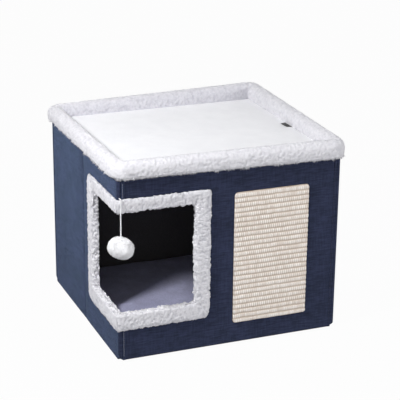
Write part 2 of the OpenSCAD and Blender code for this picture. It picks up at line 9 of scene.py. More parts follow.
import bmesh
import bpy
import numpy as np
from mathutils import Matrix, Vector
from mathutils.geometry import delaunay_2d_cdt
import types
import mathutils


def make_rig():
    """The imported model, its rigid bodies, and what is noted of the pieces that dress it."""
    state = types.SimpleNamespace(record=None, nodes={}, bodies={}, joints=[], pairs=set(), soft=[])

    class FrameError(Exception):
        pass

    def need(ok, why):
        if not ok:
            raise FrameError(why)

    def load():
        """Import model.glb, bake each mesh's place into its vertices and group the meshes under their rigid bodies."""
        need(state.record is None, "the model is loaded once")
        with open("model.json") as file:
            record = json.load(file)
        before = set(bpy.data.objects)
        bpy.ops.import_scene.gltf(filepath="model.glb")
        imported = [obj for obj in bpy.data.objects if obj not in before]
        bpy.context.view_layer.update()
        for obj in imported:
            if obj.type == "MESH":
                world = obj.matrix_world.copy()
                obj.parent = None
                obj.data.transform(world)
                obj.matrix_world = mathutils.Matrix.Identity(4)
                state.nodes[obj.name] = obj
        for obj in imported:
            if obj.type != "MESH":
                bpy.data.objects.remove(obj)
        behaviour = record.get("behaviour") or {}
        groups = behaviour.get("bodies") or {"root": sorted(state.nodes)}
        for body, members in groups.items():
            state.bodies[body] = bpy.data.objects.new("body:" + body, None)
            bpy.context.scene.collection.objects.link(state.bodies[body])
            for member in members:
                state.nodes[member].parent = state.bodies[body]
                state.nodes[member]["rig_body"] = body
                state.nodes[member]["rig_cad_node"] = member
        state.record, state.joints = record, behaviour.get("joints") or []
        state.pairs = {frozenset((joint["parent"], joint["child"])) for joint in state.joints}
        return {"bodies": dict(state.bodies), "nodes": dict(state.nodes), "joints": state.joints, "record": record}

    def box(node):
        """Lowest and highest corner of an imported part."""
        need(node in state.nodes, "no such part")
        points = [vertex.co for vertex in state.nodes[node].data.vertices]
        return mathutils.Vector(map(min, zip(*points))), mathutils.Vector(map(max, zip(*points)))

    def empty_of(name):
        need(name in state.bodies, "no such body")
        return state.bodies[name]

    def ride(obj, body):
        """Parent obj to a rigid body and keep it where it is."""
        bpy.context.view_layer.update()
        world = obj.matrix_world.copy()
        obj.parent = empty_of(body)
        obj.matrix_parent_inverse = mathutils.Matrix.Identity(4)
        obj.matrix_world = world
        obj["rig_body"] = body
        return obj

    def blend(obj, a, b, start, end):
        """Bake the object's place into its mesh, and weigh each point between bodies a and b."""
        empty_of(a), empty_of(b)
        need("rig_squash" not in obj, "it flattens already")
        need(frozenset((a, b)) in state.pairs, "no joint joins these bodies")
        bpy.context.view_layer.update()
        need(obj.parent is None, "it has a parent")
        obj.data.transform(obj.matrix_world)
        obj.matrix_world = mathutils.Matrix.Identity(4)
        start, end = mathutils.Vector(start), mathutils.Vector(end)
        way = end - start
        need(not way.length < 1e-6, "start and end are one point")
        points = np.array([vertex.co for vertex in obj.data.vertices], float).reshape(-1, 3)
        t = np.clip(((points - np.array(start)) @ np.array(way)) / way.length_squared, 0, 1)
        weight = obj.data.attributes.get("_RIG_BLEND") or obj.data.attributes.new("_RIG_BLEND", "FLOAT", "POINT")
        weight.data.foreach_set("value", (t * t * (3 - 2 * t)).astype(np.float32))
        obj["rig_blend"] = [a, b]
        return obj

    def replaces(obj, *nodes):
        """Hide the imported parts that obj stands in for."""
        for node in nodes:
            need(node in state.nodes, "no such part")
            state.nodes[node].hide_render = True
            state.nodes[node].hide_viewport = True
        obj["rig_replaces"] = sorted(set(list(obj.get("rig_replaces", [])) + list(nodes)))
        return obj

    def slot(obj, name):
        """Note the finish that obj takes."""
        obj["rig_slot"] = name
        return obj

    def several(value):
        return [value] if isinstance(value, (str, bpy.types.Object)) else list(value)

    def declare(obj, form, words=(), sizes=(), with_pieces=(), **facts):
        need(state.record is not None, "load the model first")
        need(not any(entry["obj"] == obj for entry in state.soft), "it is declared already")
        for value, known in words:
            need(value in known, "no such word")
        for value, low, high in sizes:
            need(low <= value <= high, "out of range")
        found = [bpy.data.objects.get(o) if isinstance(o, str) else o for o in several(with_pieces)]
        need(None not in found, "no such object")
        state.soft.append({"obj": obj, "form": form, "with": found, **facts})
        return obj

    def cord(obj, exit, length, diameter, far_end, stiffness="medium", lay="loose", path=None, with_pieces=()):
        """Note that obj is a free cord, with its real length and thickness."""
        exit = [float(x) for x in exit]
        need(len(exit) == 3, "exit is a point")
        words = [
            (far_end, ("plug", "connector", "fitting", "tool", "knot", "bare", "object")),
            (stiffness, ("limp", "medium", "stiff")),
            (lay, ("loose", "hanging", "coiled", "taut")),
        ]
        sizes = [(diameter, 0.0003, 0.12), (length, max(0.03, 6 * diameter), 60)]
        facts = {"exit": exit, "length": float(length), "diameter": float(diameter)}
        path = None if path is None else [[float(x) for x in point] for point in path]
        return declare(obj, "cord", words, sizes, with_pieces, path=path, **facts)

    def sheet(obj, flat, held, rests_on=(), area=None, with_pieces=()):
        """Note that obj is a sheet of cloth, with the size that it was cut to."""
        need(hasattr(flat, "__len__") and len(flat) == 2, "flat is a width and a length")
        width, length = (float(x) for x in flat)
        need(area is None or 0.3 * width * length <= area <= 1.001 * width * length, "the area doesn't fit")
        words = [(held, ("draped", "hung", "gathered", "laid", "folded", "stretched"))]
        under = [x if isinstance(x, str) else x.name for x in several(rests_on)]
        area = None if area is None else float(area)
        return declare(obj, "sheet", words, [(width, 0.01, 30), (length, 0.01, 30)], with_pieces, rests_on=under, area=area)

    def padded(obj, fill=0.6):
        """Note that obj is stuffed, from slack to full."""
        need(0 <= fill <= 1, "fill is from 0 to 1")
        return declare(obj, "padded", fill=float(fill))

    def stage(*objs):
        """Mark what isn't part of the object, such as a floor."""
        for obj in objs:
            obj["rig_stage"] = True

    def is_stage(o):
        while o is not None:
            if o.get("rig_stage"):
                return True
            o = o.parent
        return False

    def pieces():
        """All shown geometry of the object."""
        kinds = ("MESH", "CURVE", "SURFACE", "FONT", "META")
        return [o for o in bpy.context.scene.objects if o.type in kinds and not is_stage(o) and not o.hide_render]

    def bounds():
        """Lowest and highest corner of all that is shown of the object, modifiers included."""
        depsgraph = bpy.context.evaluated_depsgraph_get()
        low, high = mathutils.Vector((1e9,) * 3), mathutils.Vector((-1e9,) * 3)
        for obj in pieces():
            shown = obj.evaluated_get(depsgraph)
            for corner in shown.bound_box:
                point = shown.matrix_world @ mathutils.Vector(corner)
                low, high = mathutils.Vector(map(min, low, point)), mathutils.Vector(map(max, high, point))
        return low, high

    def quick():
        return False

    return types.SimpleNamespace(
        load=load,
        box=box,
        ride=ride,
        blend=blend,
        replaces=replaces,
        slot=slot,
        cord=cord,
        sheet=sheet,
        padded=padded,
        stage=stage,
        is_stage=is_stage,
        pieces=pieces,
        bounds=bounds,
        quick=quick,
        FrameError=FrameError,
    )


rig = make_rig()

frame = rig.load()
CAD_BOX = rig.bounds()
scene = bpy.context.scene
rng = np.random.default_rng(7)

# Sizes from the frame
X_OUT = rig.box("right_rear_cover")[1].x
Y_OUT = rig.box("back_cover")[1].y
X_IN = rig.box("right_rear_lining")[0].x
Y_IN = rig.box("back_lining")[0].y
WALL_T = X_OUT - X_IN
WALL_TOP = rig.box("back_cover")[1].z
SKIN_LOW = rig.box("back_cover")[0].z
COVER_T = X_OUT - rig.box("right_rear_board")[1].x
LINING_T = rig.box("right_rear_lining")[1].x - X_IN
HALF_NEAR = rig.box("right_rear_cover")[0].y
HALF_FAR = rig.box("right_rear_cover")[1].y
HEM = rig.box("right_rear_board")[0].y - HALF_NEAR

# Entrance and trim
TRIM_SIDE, TRIM_TOP, TRIM_BOTTOM = 0.0245, 0.021, 0.0275
TRIM_LIP = 0.0025
TRIM_ROUND = 0.009
EDGE_UNEVEN, LIP_UNEVEN = 0.0015, 1.7
UNEVEN_WIDE, UNEVEN_FINE = 0.007, 0.0035
TRIM_SAG = 0.7
SQUARE_TOP, SQUARE_BOTTOM = 0.8, 0.6
OPEN_CORNER = 0.008
TRIM_PROUD = -Y_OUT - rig.box("front_trim")[0].y
REACH_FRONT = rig.box("front_trim")[1].x + X_OUT - TRIM_SIDE
REACH_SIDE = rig.box("side_trim")[1].y + Y_OUT - TRIM_SIDE
OPEN_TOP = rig.box("front_trim")[1].z - TRIM_TOP
OPEN_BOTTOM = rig.box("front_trim")[0].z + TRIM_BOTTOM

# Pad
PAD_LO, PAD_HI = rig.box("scratch_pad")
PAD_ROWS = 27
PAD_BEADS = 36
PAD_CORNER, PAD_ROOM = 0.006, 0.0004

# Lid
RIM_LO, RIM_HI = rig.box("rim_plush")
TRAY_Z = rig.box("lid_board")[1].z
MAT_ROOM = 0.0008
RIM_IN_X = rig.box("tray_mat")[1].x + MAT_ROOM
RIM_IN_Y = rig.box("tray_mat")[1].y + MAT_ROOM
RIM_WIDTH = RIM_HI.x - RIM_IN_X

# Toy
KNOT_LO, KNOT_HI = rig.box("toy_knot")
BALL_LO, BALL_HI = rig.box("pompom")
CORD_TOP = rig.box("toy_cord_upper")[1].z
CORD_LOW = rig.box("toy_cord_lower")[0].z
CORD_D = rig.box("toy_cord_upper")[1].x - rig.box("toy_cord_upper")[0].x
TOY_X = (KNOT_LO.x + KNOT_HI.x) / 2
TOY_Y = (BALL_LO.y + BALL_HI.y) / 2
BEND_Z = next(j for j in frame["joints"] if j["name"] == "toy_swing_inward")["pos_m"][2]

# Camera at the photograph's viewing angle
CAM_YAW, CAM_PITCH, CAM_ROLL = (math.radians(a) for a in (22.003, -19.750, 0.611))
CAM_PLACE = Vector((-0.9185, -2.3200, 1.1046))
CAM_LENS = 127.23
CAM_SENSOR = 36.0
CAM_CLIP = 0.1, 50


def add_camera():
    level = math.cos(CAM_PITCH)
    ahead = Vector((math.sin(CAM_YAW) * level, math.cos(CAM_YAW) * level, math.sin(CAM_PITCH)))
    level_right = ahead.cross(Vector((0, 0, 1))).normalized()
    level_up = level_right.cross(ahead)
    c, s = math.cos(CAM_ROLL), math.sin(CAM_ROLL)
    right = c * level_right + s * level_up
    up = -s * level_right + c * level_up
    data = bpy.data.cameras.new("camera")
    data.lens, data.sensor_width = CAM_LENS, CAM_SENSOR
    data.clip_start, data.clip_end = CAM_CLIP
    cam = bpy.data.objects.new("camera", data)
    cam.matrix_world = Matrix.Translation(CAM_PLACE) @ Matrix((right, up, -ahead)).transposed().to_4x4()
    scene.collection.objects.link(cam)
    scene.camera = cam


# Light, world and floor
LAMP_AIM = Vector((0.0, 0.0, 0.2))
LAMPS = (("key", (-0.88, -0.41, 0.80), 1.4, 0.24, 12.8),
         ("fill", (-0.30, -0.90, 0.30), 3.0, 1.2, 2.6),
         ("side", (0.80, -1.10, 0.42), 3.0, 1.2, 30.0),
         ("top", (-0.12, -0.18, 1.00), 2.2, 1.4, 4.5))
SKY, SKY_COLOUR = 0.36, (0.97, 0.98, 1.0, 1)
FLOOR_WHITE, FLOOR_COLOUR = 0.97, (0.45, 0.45, 0.46, 1)
FLOOR_Z = -0.0006
FLOOR_REACH = 6.0


def add_lamp(name, way, distance, size, watts):
    """A round soft box that stands off the object along way."""
    data = bpy.data.lights.new(name, "AREA")
    data.shape, data.size, data.energy = "DISK", size, watts
    lamp = bpy.data.objects.new(name, data)
    lamp.location = LAMP_AIM + Vector(way).normalized() * distance
    lamp.rotation_euler = (LAMP_AIM - lamp.location).to_track_quat("-Z", "Y").to_euler()
    scene.collection.objects.link(lamp)


def put(tree, kind, *sources, **values):
    """A new node: sources feed its inputs in order, values set inputs or properties by name."""
    node = tree.nodes.new("ShaderNode" + kind)
    for key, value in values.items():
        if key in node.inputs:
            node.inputs[key].default_value = value
        else:
            setattr(node, key, value)
    for socket, source in zip(node.inputs, sources):
        if isinstance(source, (int, float)):
            socket.default_value = source
        else:
            tree.links.new(source, socket)
    return node


def seen_directly(tree):
    """A value of 1 for what the camera, a mirror or glass shows, and 0 for light that falls on the object."""
    path = put(tree, "LightPath").outputs
    first = put(tree, "Math", path["Is Camera Ray"], path["Is Glossy Ray"], operation="MAXIMUM")
    return put(tree, "Math", first.outputs[0], path["Is Transmission Ray"], operation="MAXIMUM").outputs[0]


def empty_tree(owner):
    owner.use_nodes = True
    owner.node_tree.nodes.clear()
    return owner.node_tree


def add_world():
    scene.world = bpy.data.worlds.new("studio")
    tree = empty_tree(scene.world)
    soft = put(tree, "Background", Color=SKY_COLOUR, Strength=SKY)
    white = put(tree, "Background", Color=(1, 1, 1, 1))
    mix = put(tree, "MixShader", seen_directly(tree), soft.outputs[0], white.outputs[0])
    put(tree, "OutputWorld", mix.outputs[0])


def add_floor():
    mat = bpy.data.materials.new("floor")
    tree = empty_tree(mat)
    matt = put(tree, "BsdfDiffuse", Color=FLOOR_COLOUR)
    white = put(tree, "Emission")
    share = put(tree, "Math", seen_directly(tree), FLOOR_WHITE, operation="MULTIPLY")
    mix = put(tree, "MixShader", share.outputs[0], matt.outputs[0], white.outputs[0])
    put(tree, "OutputMaterial", mix.outputs[0])
    corners = [(x * FLOOR_REACH, y * FLOOR_REACH, FLOOR_Z) for x, y in ((-1, -1), (1, -1), (1, 1), (-1, 1))]
    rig.stage(build("floor", corners, [(0, 1, 2, 3)], mat, smooth=False))


# Materials
SPECULAR = 0.2
EVEN = (1, 1, 1)
RIBBON_RIB = 0.0008


class Nodes:
    """A material's node tree, with short calls for the nodes used here."""

    def __init__(self, name, roughness, sheen=0.0, sheen_tint=(1, 1, 1), sheen_roughness=0.5):
        self.mat = bpy.data.materials.new(name)
        self.mat.use_nodes = True
        self.tree = self.mat.node_tree
        self.shader = self.tree.nodes["Principled BSDF"]
        for socket, value in (("Roughness", roughness), ("Specular IOR Level", SPECULAR),
                              ("Sheen Weight", sheen), ("Sheen Roughness", sheen_roughness),
                              ("Sheen Tint", (*sheen_tint, 1))):
            self.shader.inputs[socket].default_value = value
        self.coords = put(self.tree, "TexCoord").outputs["Object"]

    def math(self, operation, *sources):
        return put(self.tree, "Math", *sources, operation=operation).outputs[0]

    def parts(self):
        """The X, Y and Z of a place on the piece."""
        return put(self.tree, "SeparateXYZ", self.coords).outputs

    def noise(self, size, stretch=(1, 1, 1), detail=3.0, roughness=0.55):
        """Noise from 0 to 1 whose lumps are about size metres across."""
        scaled = put(self.tree, "Mapping", self.coords, Scale=stretch)
        return put(self.tree, "TexNoise", scaled.outputs[0], Scale=1 / size, Detail=detail,
                   Roughness=roughness).outputs["Fac"]

    def mottled(self, shade, noise, amount):
        """The shade with a noise laid evenly over it."""
        return self.math("MULTIPLY_ADD", self.math("SUBTRACT", noise, 0.5), amount, shade)

    def mixed(self, first, second, share):
        """The first by its share and the second by the rest."""
        return self.math("ADD", self.math("MULTIPLY", first, share), self.math("MULTIPLY", second, 1 - share))

    def attribute(self, name):
        return put(self.tree, "Attribute", attribute_name=name).outputs["Fac"]

    def colour(self, factor, stops):
        """The colour runs through stops of (place, colour)."""
        node = put(self.tree, "ValToRGB", factor)
        while len(node.color_ramp.elements) < len(stops):
            node.color_ramp.elements.new(0.5)
        for element, (place, colour) in zip(node.color_ramp.elements, stops):
            element.position = place
            element.color = (*colour, 1)
        self.tree.links.new(node.outputs["Color"], self.shader.inputs["Base Color"])

    def bump(self, height, strength, distance, over=None):
        """Relief on the shader's normal; over is the relief that it lies on."""
        node = put(self.tree, "Bump", Strength=strength, Distance=distance)
        self.tree.links.new(height, node.inputs["Height"])
        if over is not None:
            self.tree.links.new(over, node.inputs["Normal"])
        self.tree.links.new(node.outputs[0], self.shader.inputs["Normal"])
        return node.outputs[0]


# The valley along a side wall's crease: its depth in the mesh, and in all with the material's relief
CREASE_PRESS, CREASE_DEPTH = 0.0010, 0.0036
CREASE_REAR, CREASE_FRONT = 0.022, 0.012
WEAVE_PITCH, SLUB_SIZE, SLUB_LEVEL = 0.0011, 0.012, 0.64


def crease_height(n, y):
    """A pressed valley along the crease at mid depth, long to the rear and steep to the front."""
    rear = n.math("EXPONENT", n.math("MULTIPLY", y, -1 / CREASE_REAR))
    front = n.math("EXPONENT", n.math("MULTIPLY", y, 1 / CREASE_FRONT))
    return n.math("SUBTRACT", 1.0, n.math("MINIMUM", rear, front))


def linen_material(name, dark, light, relief=0.0008, creased=False):
    """Plain weave with slubs along both threads; on any wall x + y runs level along it."""
    n = Nodes(name, roughness=0.85, sheen=0.245, sheen_tint=(0.39, 0.61, 1.0), sheen_roughness=0.45)
    x, y, z = n.parts()
    turns = math.pi / WEAVE_PITCH
    weft = n.math("SINE", n.math("MULTIPLY", n.math("ADD", x, y), turns))
    warp = n.math("SINE", n.math("MULTIPLY", z, turns))
    weave = n.math("MULTIPLY", weft, warp)
    slubs = n.mixed(n.noise(SLUB_SIZE, (0.5, 0.5, 5.0)), n.noise(SLUB_SIZE, (4.0, 4.0, 0.5)), SLUB_LEVEL)
    shade = n.math("MULTIPLY_ADD", weave, 0.10, slubs)
    n.colour(n.mottled(shade, n.noise(0.05, detail=2), 0.25), [(0.37, dark), (0.63, light)])
    valley = n.bump(crease_height(n, y), 1.0, CREASE_DEPTH - CREASE_PRESS) if creased else None
    n.bump(n.math("MULTIPLY_ADD", weave, 0.5, slubs), 0.5, relief, valley)
    return n.mat


def fibre_material(name, stops, fine, relief, patch=None, share=1.0, **surface):
    """Cloth, thread or board: fine noise, perhaps with wider patches under it, runs through stops of colour.
    fine and patch say what noise to use, and relief how strong and how high the fine noise stands."""
    n = Nodes(name, **surface)
    fibre = n.noise(*fine)
    n.colour(fibre if patch is None else n.mixed(fibre, n.noise(*patch), share), stops)
    n.bump(fibre, *relief)
    return n.mat


def pile_material(name, attribute, stops, fine, mottle, patch, relief, **surface):
    """Pile or loops: the attribute is 0 in the gaps between them and 1 on their ends."""
    n = Nodes(name, **surface)
    fibre = n.noise(*fine)
    shade = n.mottled(n.attribute(attribute), fibre, mottle)
    n.colour(n.mottled(shade, n.noise(*patch), 0.25), stops)
    n.bump(fibre, *relief)
    return n.mat


def fleece_material(name, root, tip):
    """Curly fleece or yarn ends, painted darker at the roots and in the gaps between clumps, as painted shade."""
    return pile_material(name, "pile", [(0.0, root), (0.75, tip)], (0.0009, EVEN, 4, 0.65), 0.35,
                         (0.012, EVEN, 2), (0.5, 0.0006), roughness=0.95, sheen=0.12, sheen_roughness=0.6)


def plush_material(name, low, high, grain=0.0016):
    """Short even plush: fine fibre ends over soft brushed patches."""
    return fibre_material(name, [(0.3, low), (0.7, high)], (grain, EVEN, 4, 0.7), (0.5, 0.0008),
                          (0.035, EVEN, 3), 0.6, roughness=0.95, sheen=0.2)


def board_material(name, low, high, grain):
    """Pressed fibre board or cardboard with flecks."""
    return fibre_material(name, [(0.3, low), (0.7, high)], (grain, (1.0, 1.0, 1.6), 5, 0.7), (0.3, 0.0003),
                          (0.06, EVEN, 2), 0.7, roughness=0.75)


def ribbon_material(name, low, high):
    """Grosgrain ribbon with fine cross ribs."""
    n = Nodes(name, roughness=0.55, sheen=0.1)
    ribs = n.math("SINE", n.math("MULTIPLY", n.parts()["Y"], 2 * math.pi / RIBBON_RIB))
    n.colour(n.math("MULTIPLY_ADD", ribs, 0.2, n.noise(0.002, (1.0, 5.0, 1.0))), [(0.2, low), (0.8, high)])
    n.bump(ribs, 0.4, 0.0003)
    return n.mat


def thread_material(name, low, high):
    """Polyester sewing thread."""
    return fibre_material(name, [(0.3, low), (0.7, high)], (0.0006, (1.0, 1.0, 0.5), 2), (0.4, 0.0002),
                          roughness=0.5, sheen=0.1)


NAVY = linen_material("navy_linen", (0.0115, 0.0148, 0.0335), (0.0305, 0.0375, 0.0825))
# painted shade and highlight: on the side walls the linen's dark threads are darker, its light threads lighter and its
# green lower than on the front and back, as grazing light shows them there; the crease valley is real relief
NAVY_CREASED_PAINTED_LIGHT = linen_material("navy_linen_creased", (0.0040, 0.0048, 0.0135), (0.0385, 0.0425, 0.1050),
                              relief=0.0028, creased=True)
BLACK = fibre_material("black_lining", [(0.3, (0.098, 0.094, 0.101)), (0.75, (0.170, 0.162, 0.173))],
                       (0.0025, EVEN, 5, 0.7), (0.3, 0.0004), roughness=0.95)
# painted shade: the root colours of the fleece and the pom-pom yarn are darker shades, laid in the gaps between clumps
# and at the roots of the locks
FLEECE = fleece_material("white_fleece", (0.43, 0.425, 0.478), (0.78, 0.772, 0.805))
BALL_YARN = fleece_material("pompom_yarn", (0.70, 0.70, 0.735), (0.85, 0.85, 0.865))
MAT_PLUSH = plush_material("white_mat", (0.86, 0.86, 0.885), (0.94, 0.94, 0.96))
FLOOR_PLUSH = plush_material("floor_plush", (0.34, 0.345, 0.52), (0.60, 0.605, 0.85), 0.0030)
SISAL_STOPS = [(0.0, (0.53, 0.43, 0.35)), (0.4, (0.74, 0.64, 0.56)), (0.9, (0.95, 0.90, 0.85))]
SISAL = pile_material("sisal", "yarn", SISAL_STOPS,
                      (0.0035, (6.0, 6.0, 1.0), 4, 0.65), 0.45, (0.03, EVEN, 2), (0.4, 0.0005),
                      roughness=0.8, sheen=0.1)
BOARD = board_material("board", (0.42, 0.31, 0.20), (0.64, 0.50, 0.35), 0.004)
STRIP = board_material("strip_board", (0.56, 0.47, 0.36), (0.72, 0.63, 0.50), 0.006)
RIBBON = ribbon_material("tab_ribbon", (0.006, 0.006, 0.007), (0.022, 0.022, 0.025))
YARN = fibre_material("white_yarn", [(0.25, (0.80, 0.80, 0.82)), (0.7, (0.94, 0.94, 0.95))],
                      (0.0012, (1.0, 1.0, 0.35), 4, 0.65), (0.5, 0.0004), roughness=0.9, sheen=0.15)
THREAD = thread_material("navy_thread", (0.016, 0.020, 0.042), (0.034, 0.041, 0.085))
# painted highlight: pale stitches on the near corner strip stand in for the light that the lip of the front cover
# catches there
PAINTED_HIGHLIGHT_THREAD = thread_material("pale_thread", (0.24, 0.26, 0.32), (0.34, 0.36, 0.43))


# Noise for shapes
def cell_numbers(cells, seed):
    """A number from 0 to 1 for each whole-number cell, the same on every run."""
    h = cells[..., 0] * 73856093 ^ cells[..., 1] * 19349663 ^ cells[..., 2] * 83492791 ^ seed * 40503
    h = ((h ^ (h >> 13)) * 1274126177) & 0xFFFFFFFF
    h = ((h ^ (h >> 16)) * 668265263) & 0xFFFFFFFF
    return ((h ^ (h >> 15)) & 0xFFFFFF) / 0xFFFFFF


def lumps(points, size, seed):
    """Smooth noise from -1 to 1 with lumps about size across."""
    p = np.asarray(points) / size
    low = np.floor(p).astype(np.int64)
    t = p - low
    t = t * t * (3 - 2 * t)
    total = np.zeros(len(p))
    for corner in np.ndindex(2, 2, 2):
        c = np.array(corner)
        weight = np.prod(np.where(c == 1, t, 1 - t), axis=1)
        total += weight * cell_numbers(low + c, seed)
    return 2 * total - 1


def pebbles(points, size, seed):
    """Rounded clumps about size across: 1 on a crown, falling to 0 in the gaps."""
    bent = np.stack([lumps(points, size * 1.3, seed + k) for k in range(3)], axis=1)
    p = np.asarray(points) / size + 0.35 * bent
    low = np.floor(p).astype(np.int64)
    best = np.full(len(p), 9.0)
    for corner in np.ndindex(3, 3, 3):
        cell = low + np.array(corner) - 1
        centre = cell + np.stack([cell_numbers(cell, seed + 11 + k) for k in range(3)], axis=-1)
        best = np.minimum(best, ((p - centre) ** 2).sum(1))
    return np.clip(1 - 1.25 * best, 0, 1)


# Meshes
def build(name, verts, faces, material, smooth=True, **attributes):
    """A mesh object from points and faces, with one float attribute for each extra name."""
    mesh = bpy.data.meshes.new(name)
    mesh.from_pydata(np.asarray(verts, float).tolist(), [], faces)
    for key, values in attributes.items():
        layer = mesh.attributes.new(key, "FLOAT", "POINT")
        layer.data.foreach_set("value", np.asarray(values, np.float32))
    mesh.materials.append(material)
    if smooth:
        mesh.polygons.foreach_set("use_smooth", np.ones(len(mesh.polygons), bool))
    mesh.update()
    obj = bpy.data.objects.new(name, mesh)
    scene.collection.objects.link(obj)
    return obj


def stands_for(obj, body, slot, *nodes):
    """The piece rides on a body and takes the place of CAD nodes."""
    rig.ride(obj, body)
    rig.slot(obj, slot)
    if nodes:
        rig.replaces(obj, *nodes)
    return obj


def grid_faces(rows, columns, close_rows=False, close_columns=False):
    """Quads over a grid of points that is stored row by row."""
    r = np.arange(rows if close_rows else rows - 1)
    c = np.arange(columns if close_columns else columns - 1)
    r, c = (a.ravel() for a in np.meshgrid(r, c, indexing="ij"))
    r2, c2 = (r + 1) % rows, (c + 1) % columns
    return np.stack([r * columns + c, r2 * columns + c, r2 * columns + c2, r * columns + c2], axis=1)


def capped_faces(rows, columns):
    """Faces of a sweep of closed sections, with a face over each end."""
    ends = [tuple(range(columns)), tuple((rows - 1) * columns + np.arange(columns))]
    return grid_faces(rows, columns, False, True).tolist() + ends


def grid_steps(grid, axis, closed):
    """How a grid of points runs along one of its two directions."""
    if closed:
        return np.roll(grid, -1, axis) - np.roll(grid, 1, axis)
    return np.gradient(grid, axis=axis)


def sweep_normals(grid, closed):
    """Normals of a sweep of closed sections, which may close on itself."""
    return unit(np.cross(grid_steps(grid, 1, True), grid_steps(grid, 0, closed)))


def unit(v):
    return v / np.maximum(np.linalg.norm(v, axis=-1, keepdims=True), 1e-12)


def along_surface(v, normals):
    """What is left of v without its part along the normals."""
    return v - normals * (v * normals).sum(1, keepdims=True)


CURVE_STEPS = 24


def smooth_line(points, step):
    """A curve through the points, with new points about step apart."""
    p = np.asarray(points, float)
    p = np.vstack([2 * p[:1] - p[1:2], p, 2 * p[-1:] - p[-2:-1]])
    t = np.linspace(0, 1, CURVE_STEPS, endpoint=False)[:, None]
    dense = []
    for a, b, c, d in zip(p[:-3], p[1:-2], p[2:-1], p[3:]):
        dense.append(b + 0.5 * t * (c - a + t * (2 * a - 5 * b + 4 * c - d + t * (3 * (b - c) + d - a))))
    dense.append(p[-2:-1])
    line = np.vstack(dense)
    along = np.concatenate([[0], np.cumsum(np.linalg.norm(np.diff(line, axis=0), axis=1))])
    count = max(3, round(along[-1] / step) + 1)
    at = np.linspace(0, along[-1], count)
    return np.stack([np.interp(at, along, line[:, k]) for k in range(line.shape[1])], axis=1)


# Fleece
LOCK_RINGS = (0.0, 0.5)
LOCK_SIDES = 3
LOCK_POINTS = len(LOCK_RINGS) * LOCK_SIDES + 1
LOCK_LENGTH, LOCK_WIDTH, LOCK_SINK = (0.0022, 0.0038), (0.0012, 0.0020), 0.0008
LOCK_EVEN = 0.35
CLUMP, BUNCH = 0.0052, 0.0042
PILE_SINK = 0.0014
PILE_FILL = 0.85
SWEEP_LOCKS, FRINGE_LOCKS, BALL_LOCKS = 2600, 3600, 2600
CORNER_STEPS = 25
# Rise of the clumps, how dark the gaps and the ends are painted as painted shade, and how far the shading is lifted
# and evened
RIM_LOOK, TRIM_LOOK = (0.0034, 0.5, 0.19, 0.2, 0.16), (0.0032, 0.95, 0.0, 0.0, 0.1)
RIM_STEP, TRIM_STEP = 0.00149, 0.0009


def locks(roots, normals, lean, length, width, curl):
    """Small curled locks of pile, each a tapered tube from its root, closed at both ends.
    Gives points, faces and pile."""
    count = len(roots)
    side = unit(np.cross(normals, lean))
    stations = np.array([*LOCK_RINGS, 1.0])
    s = stations[None, :, None]
    n, l, d = normals[:, None], lean[:, None], side[:, None]
    size, twist = length[:, None, None], curl[:, None, None]
    line = roots[:, None] + size * (0.42 * s * (1 - 0.45 * s) * n + (0.35 * s + 0.5 * s * s) * l
                                    + 0.3 * np.sin(2.6 * s) * twist * d)
    ahead = unit(np.gradient(line, axis=1))
    across = unit(np.cross(ahead, n + 0.3 * d))
    other = np.cross(ahead, across)
    points, pile = [], []
    for k, station in enumerate(LOCK_RINGS):
        radius = (0.5 * width * (1.0 - 0.55 * station))[:, None]
        for j in range(LOCK_SIDES):
            a = 2 * math.pi * j / LOCK_SIDES + 0.5 * k
            points.append(line[:, k] + radius * (math.cos(a) * across[:, k] + math.sin(a) * other[:, k]))
            # painted shade: each lock is darker at its root than at its end
            pile.append(np.full(count, 0.62 + 0.35 * station))
    points.append(line[:, -1])
    pile.append(np.full(count, 1.0))
    per = len(points)
    verts = np.stack(points, axis=1).reshape(-1, 3)
    one = []
    for k in range(len(LOCK_RINGS) - 1):
        for j in range(LOCK_SIDES):
            a, b = k * LOCK_SIDES + j, k * LOCK_SIDES + (j + 1) % LOCK_SIDES
            one += [(a, b, b + LOCK_SIDES), (a, b + LOCK_SIDES, a + LOCK_SIDES)]
    top = (len(LOCK_RINGS) - 1) * LOCK_SIDES
    one += [(top + j, top + (j + 1) % LOCK_SIDES, per - 1) for j in range(LOCK_SIDES)]
    one.append((2, 1, 0))
    faces = (np.array(one)[None] + per * np.arange(count)[:, None, None]).reshape(-1, 3)
    return verts, faces, np.stack(pile, axis=1).reshape(-1)


def scatter(grid, weight, count, close_rows):
    """Random spots on a sweep of closed sections. Gives a function that blends a grid of values at each."""
    quads = grid_faces(grid.shape[0], grid.shape[1], close_rows, True)
    flat = grid.reshape(-1, 3)
    a, b, c, d = (flat[quads[:, k]] for k in range(4))
    area = 0.5 * np.linalg.norm(np.cross(c - a, d - b), axis=1) * weight.reshape(-1)[quads].mean(1)
    chosen = quads[rng.choice(len(quads), count, p=area / area.sum())]
    u, v = rng.random((2, count, 1))
    shares = np.concatenate([(1 - u) * (1 - v), u * (1 - v), u * v, (1 - u) * v], axis=1)

    def blend(values):
        values = np.asarray(values).reshape(len(flat), -1)
        return (values[chosen] * shares[..., None]).sum(1)

    return blend


def join_fleece(name, base_verts, base_faces, base_pile, lock_parts, material):
    """One mesh of the base pile and its locks."""
    verts, faces, pile = [base_verts], base_faces.tolist(), [base_pile]
    start = len(base_verts)
    for v, f, p in lock_parts:
        verts.append(v)
        faces += (f + start).tolist()
        pile.append(p)
        start += len(v)
    return build(name, np.vstack(verts), faces, material, pile=np.concatenate(pile))


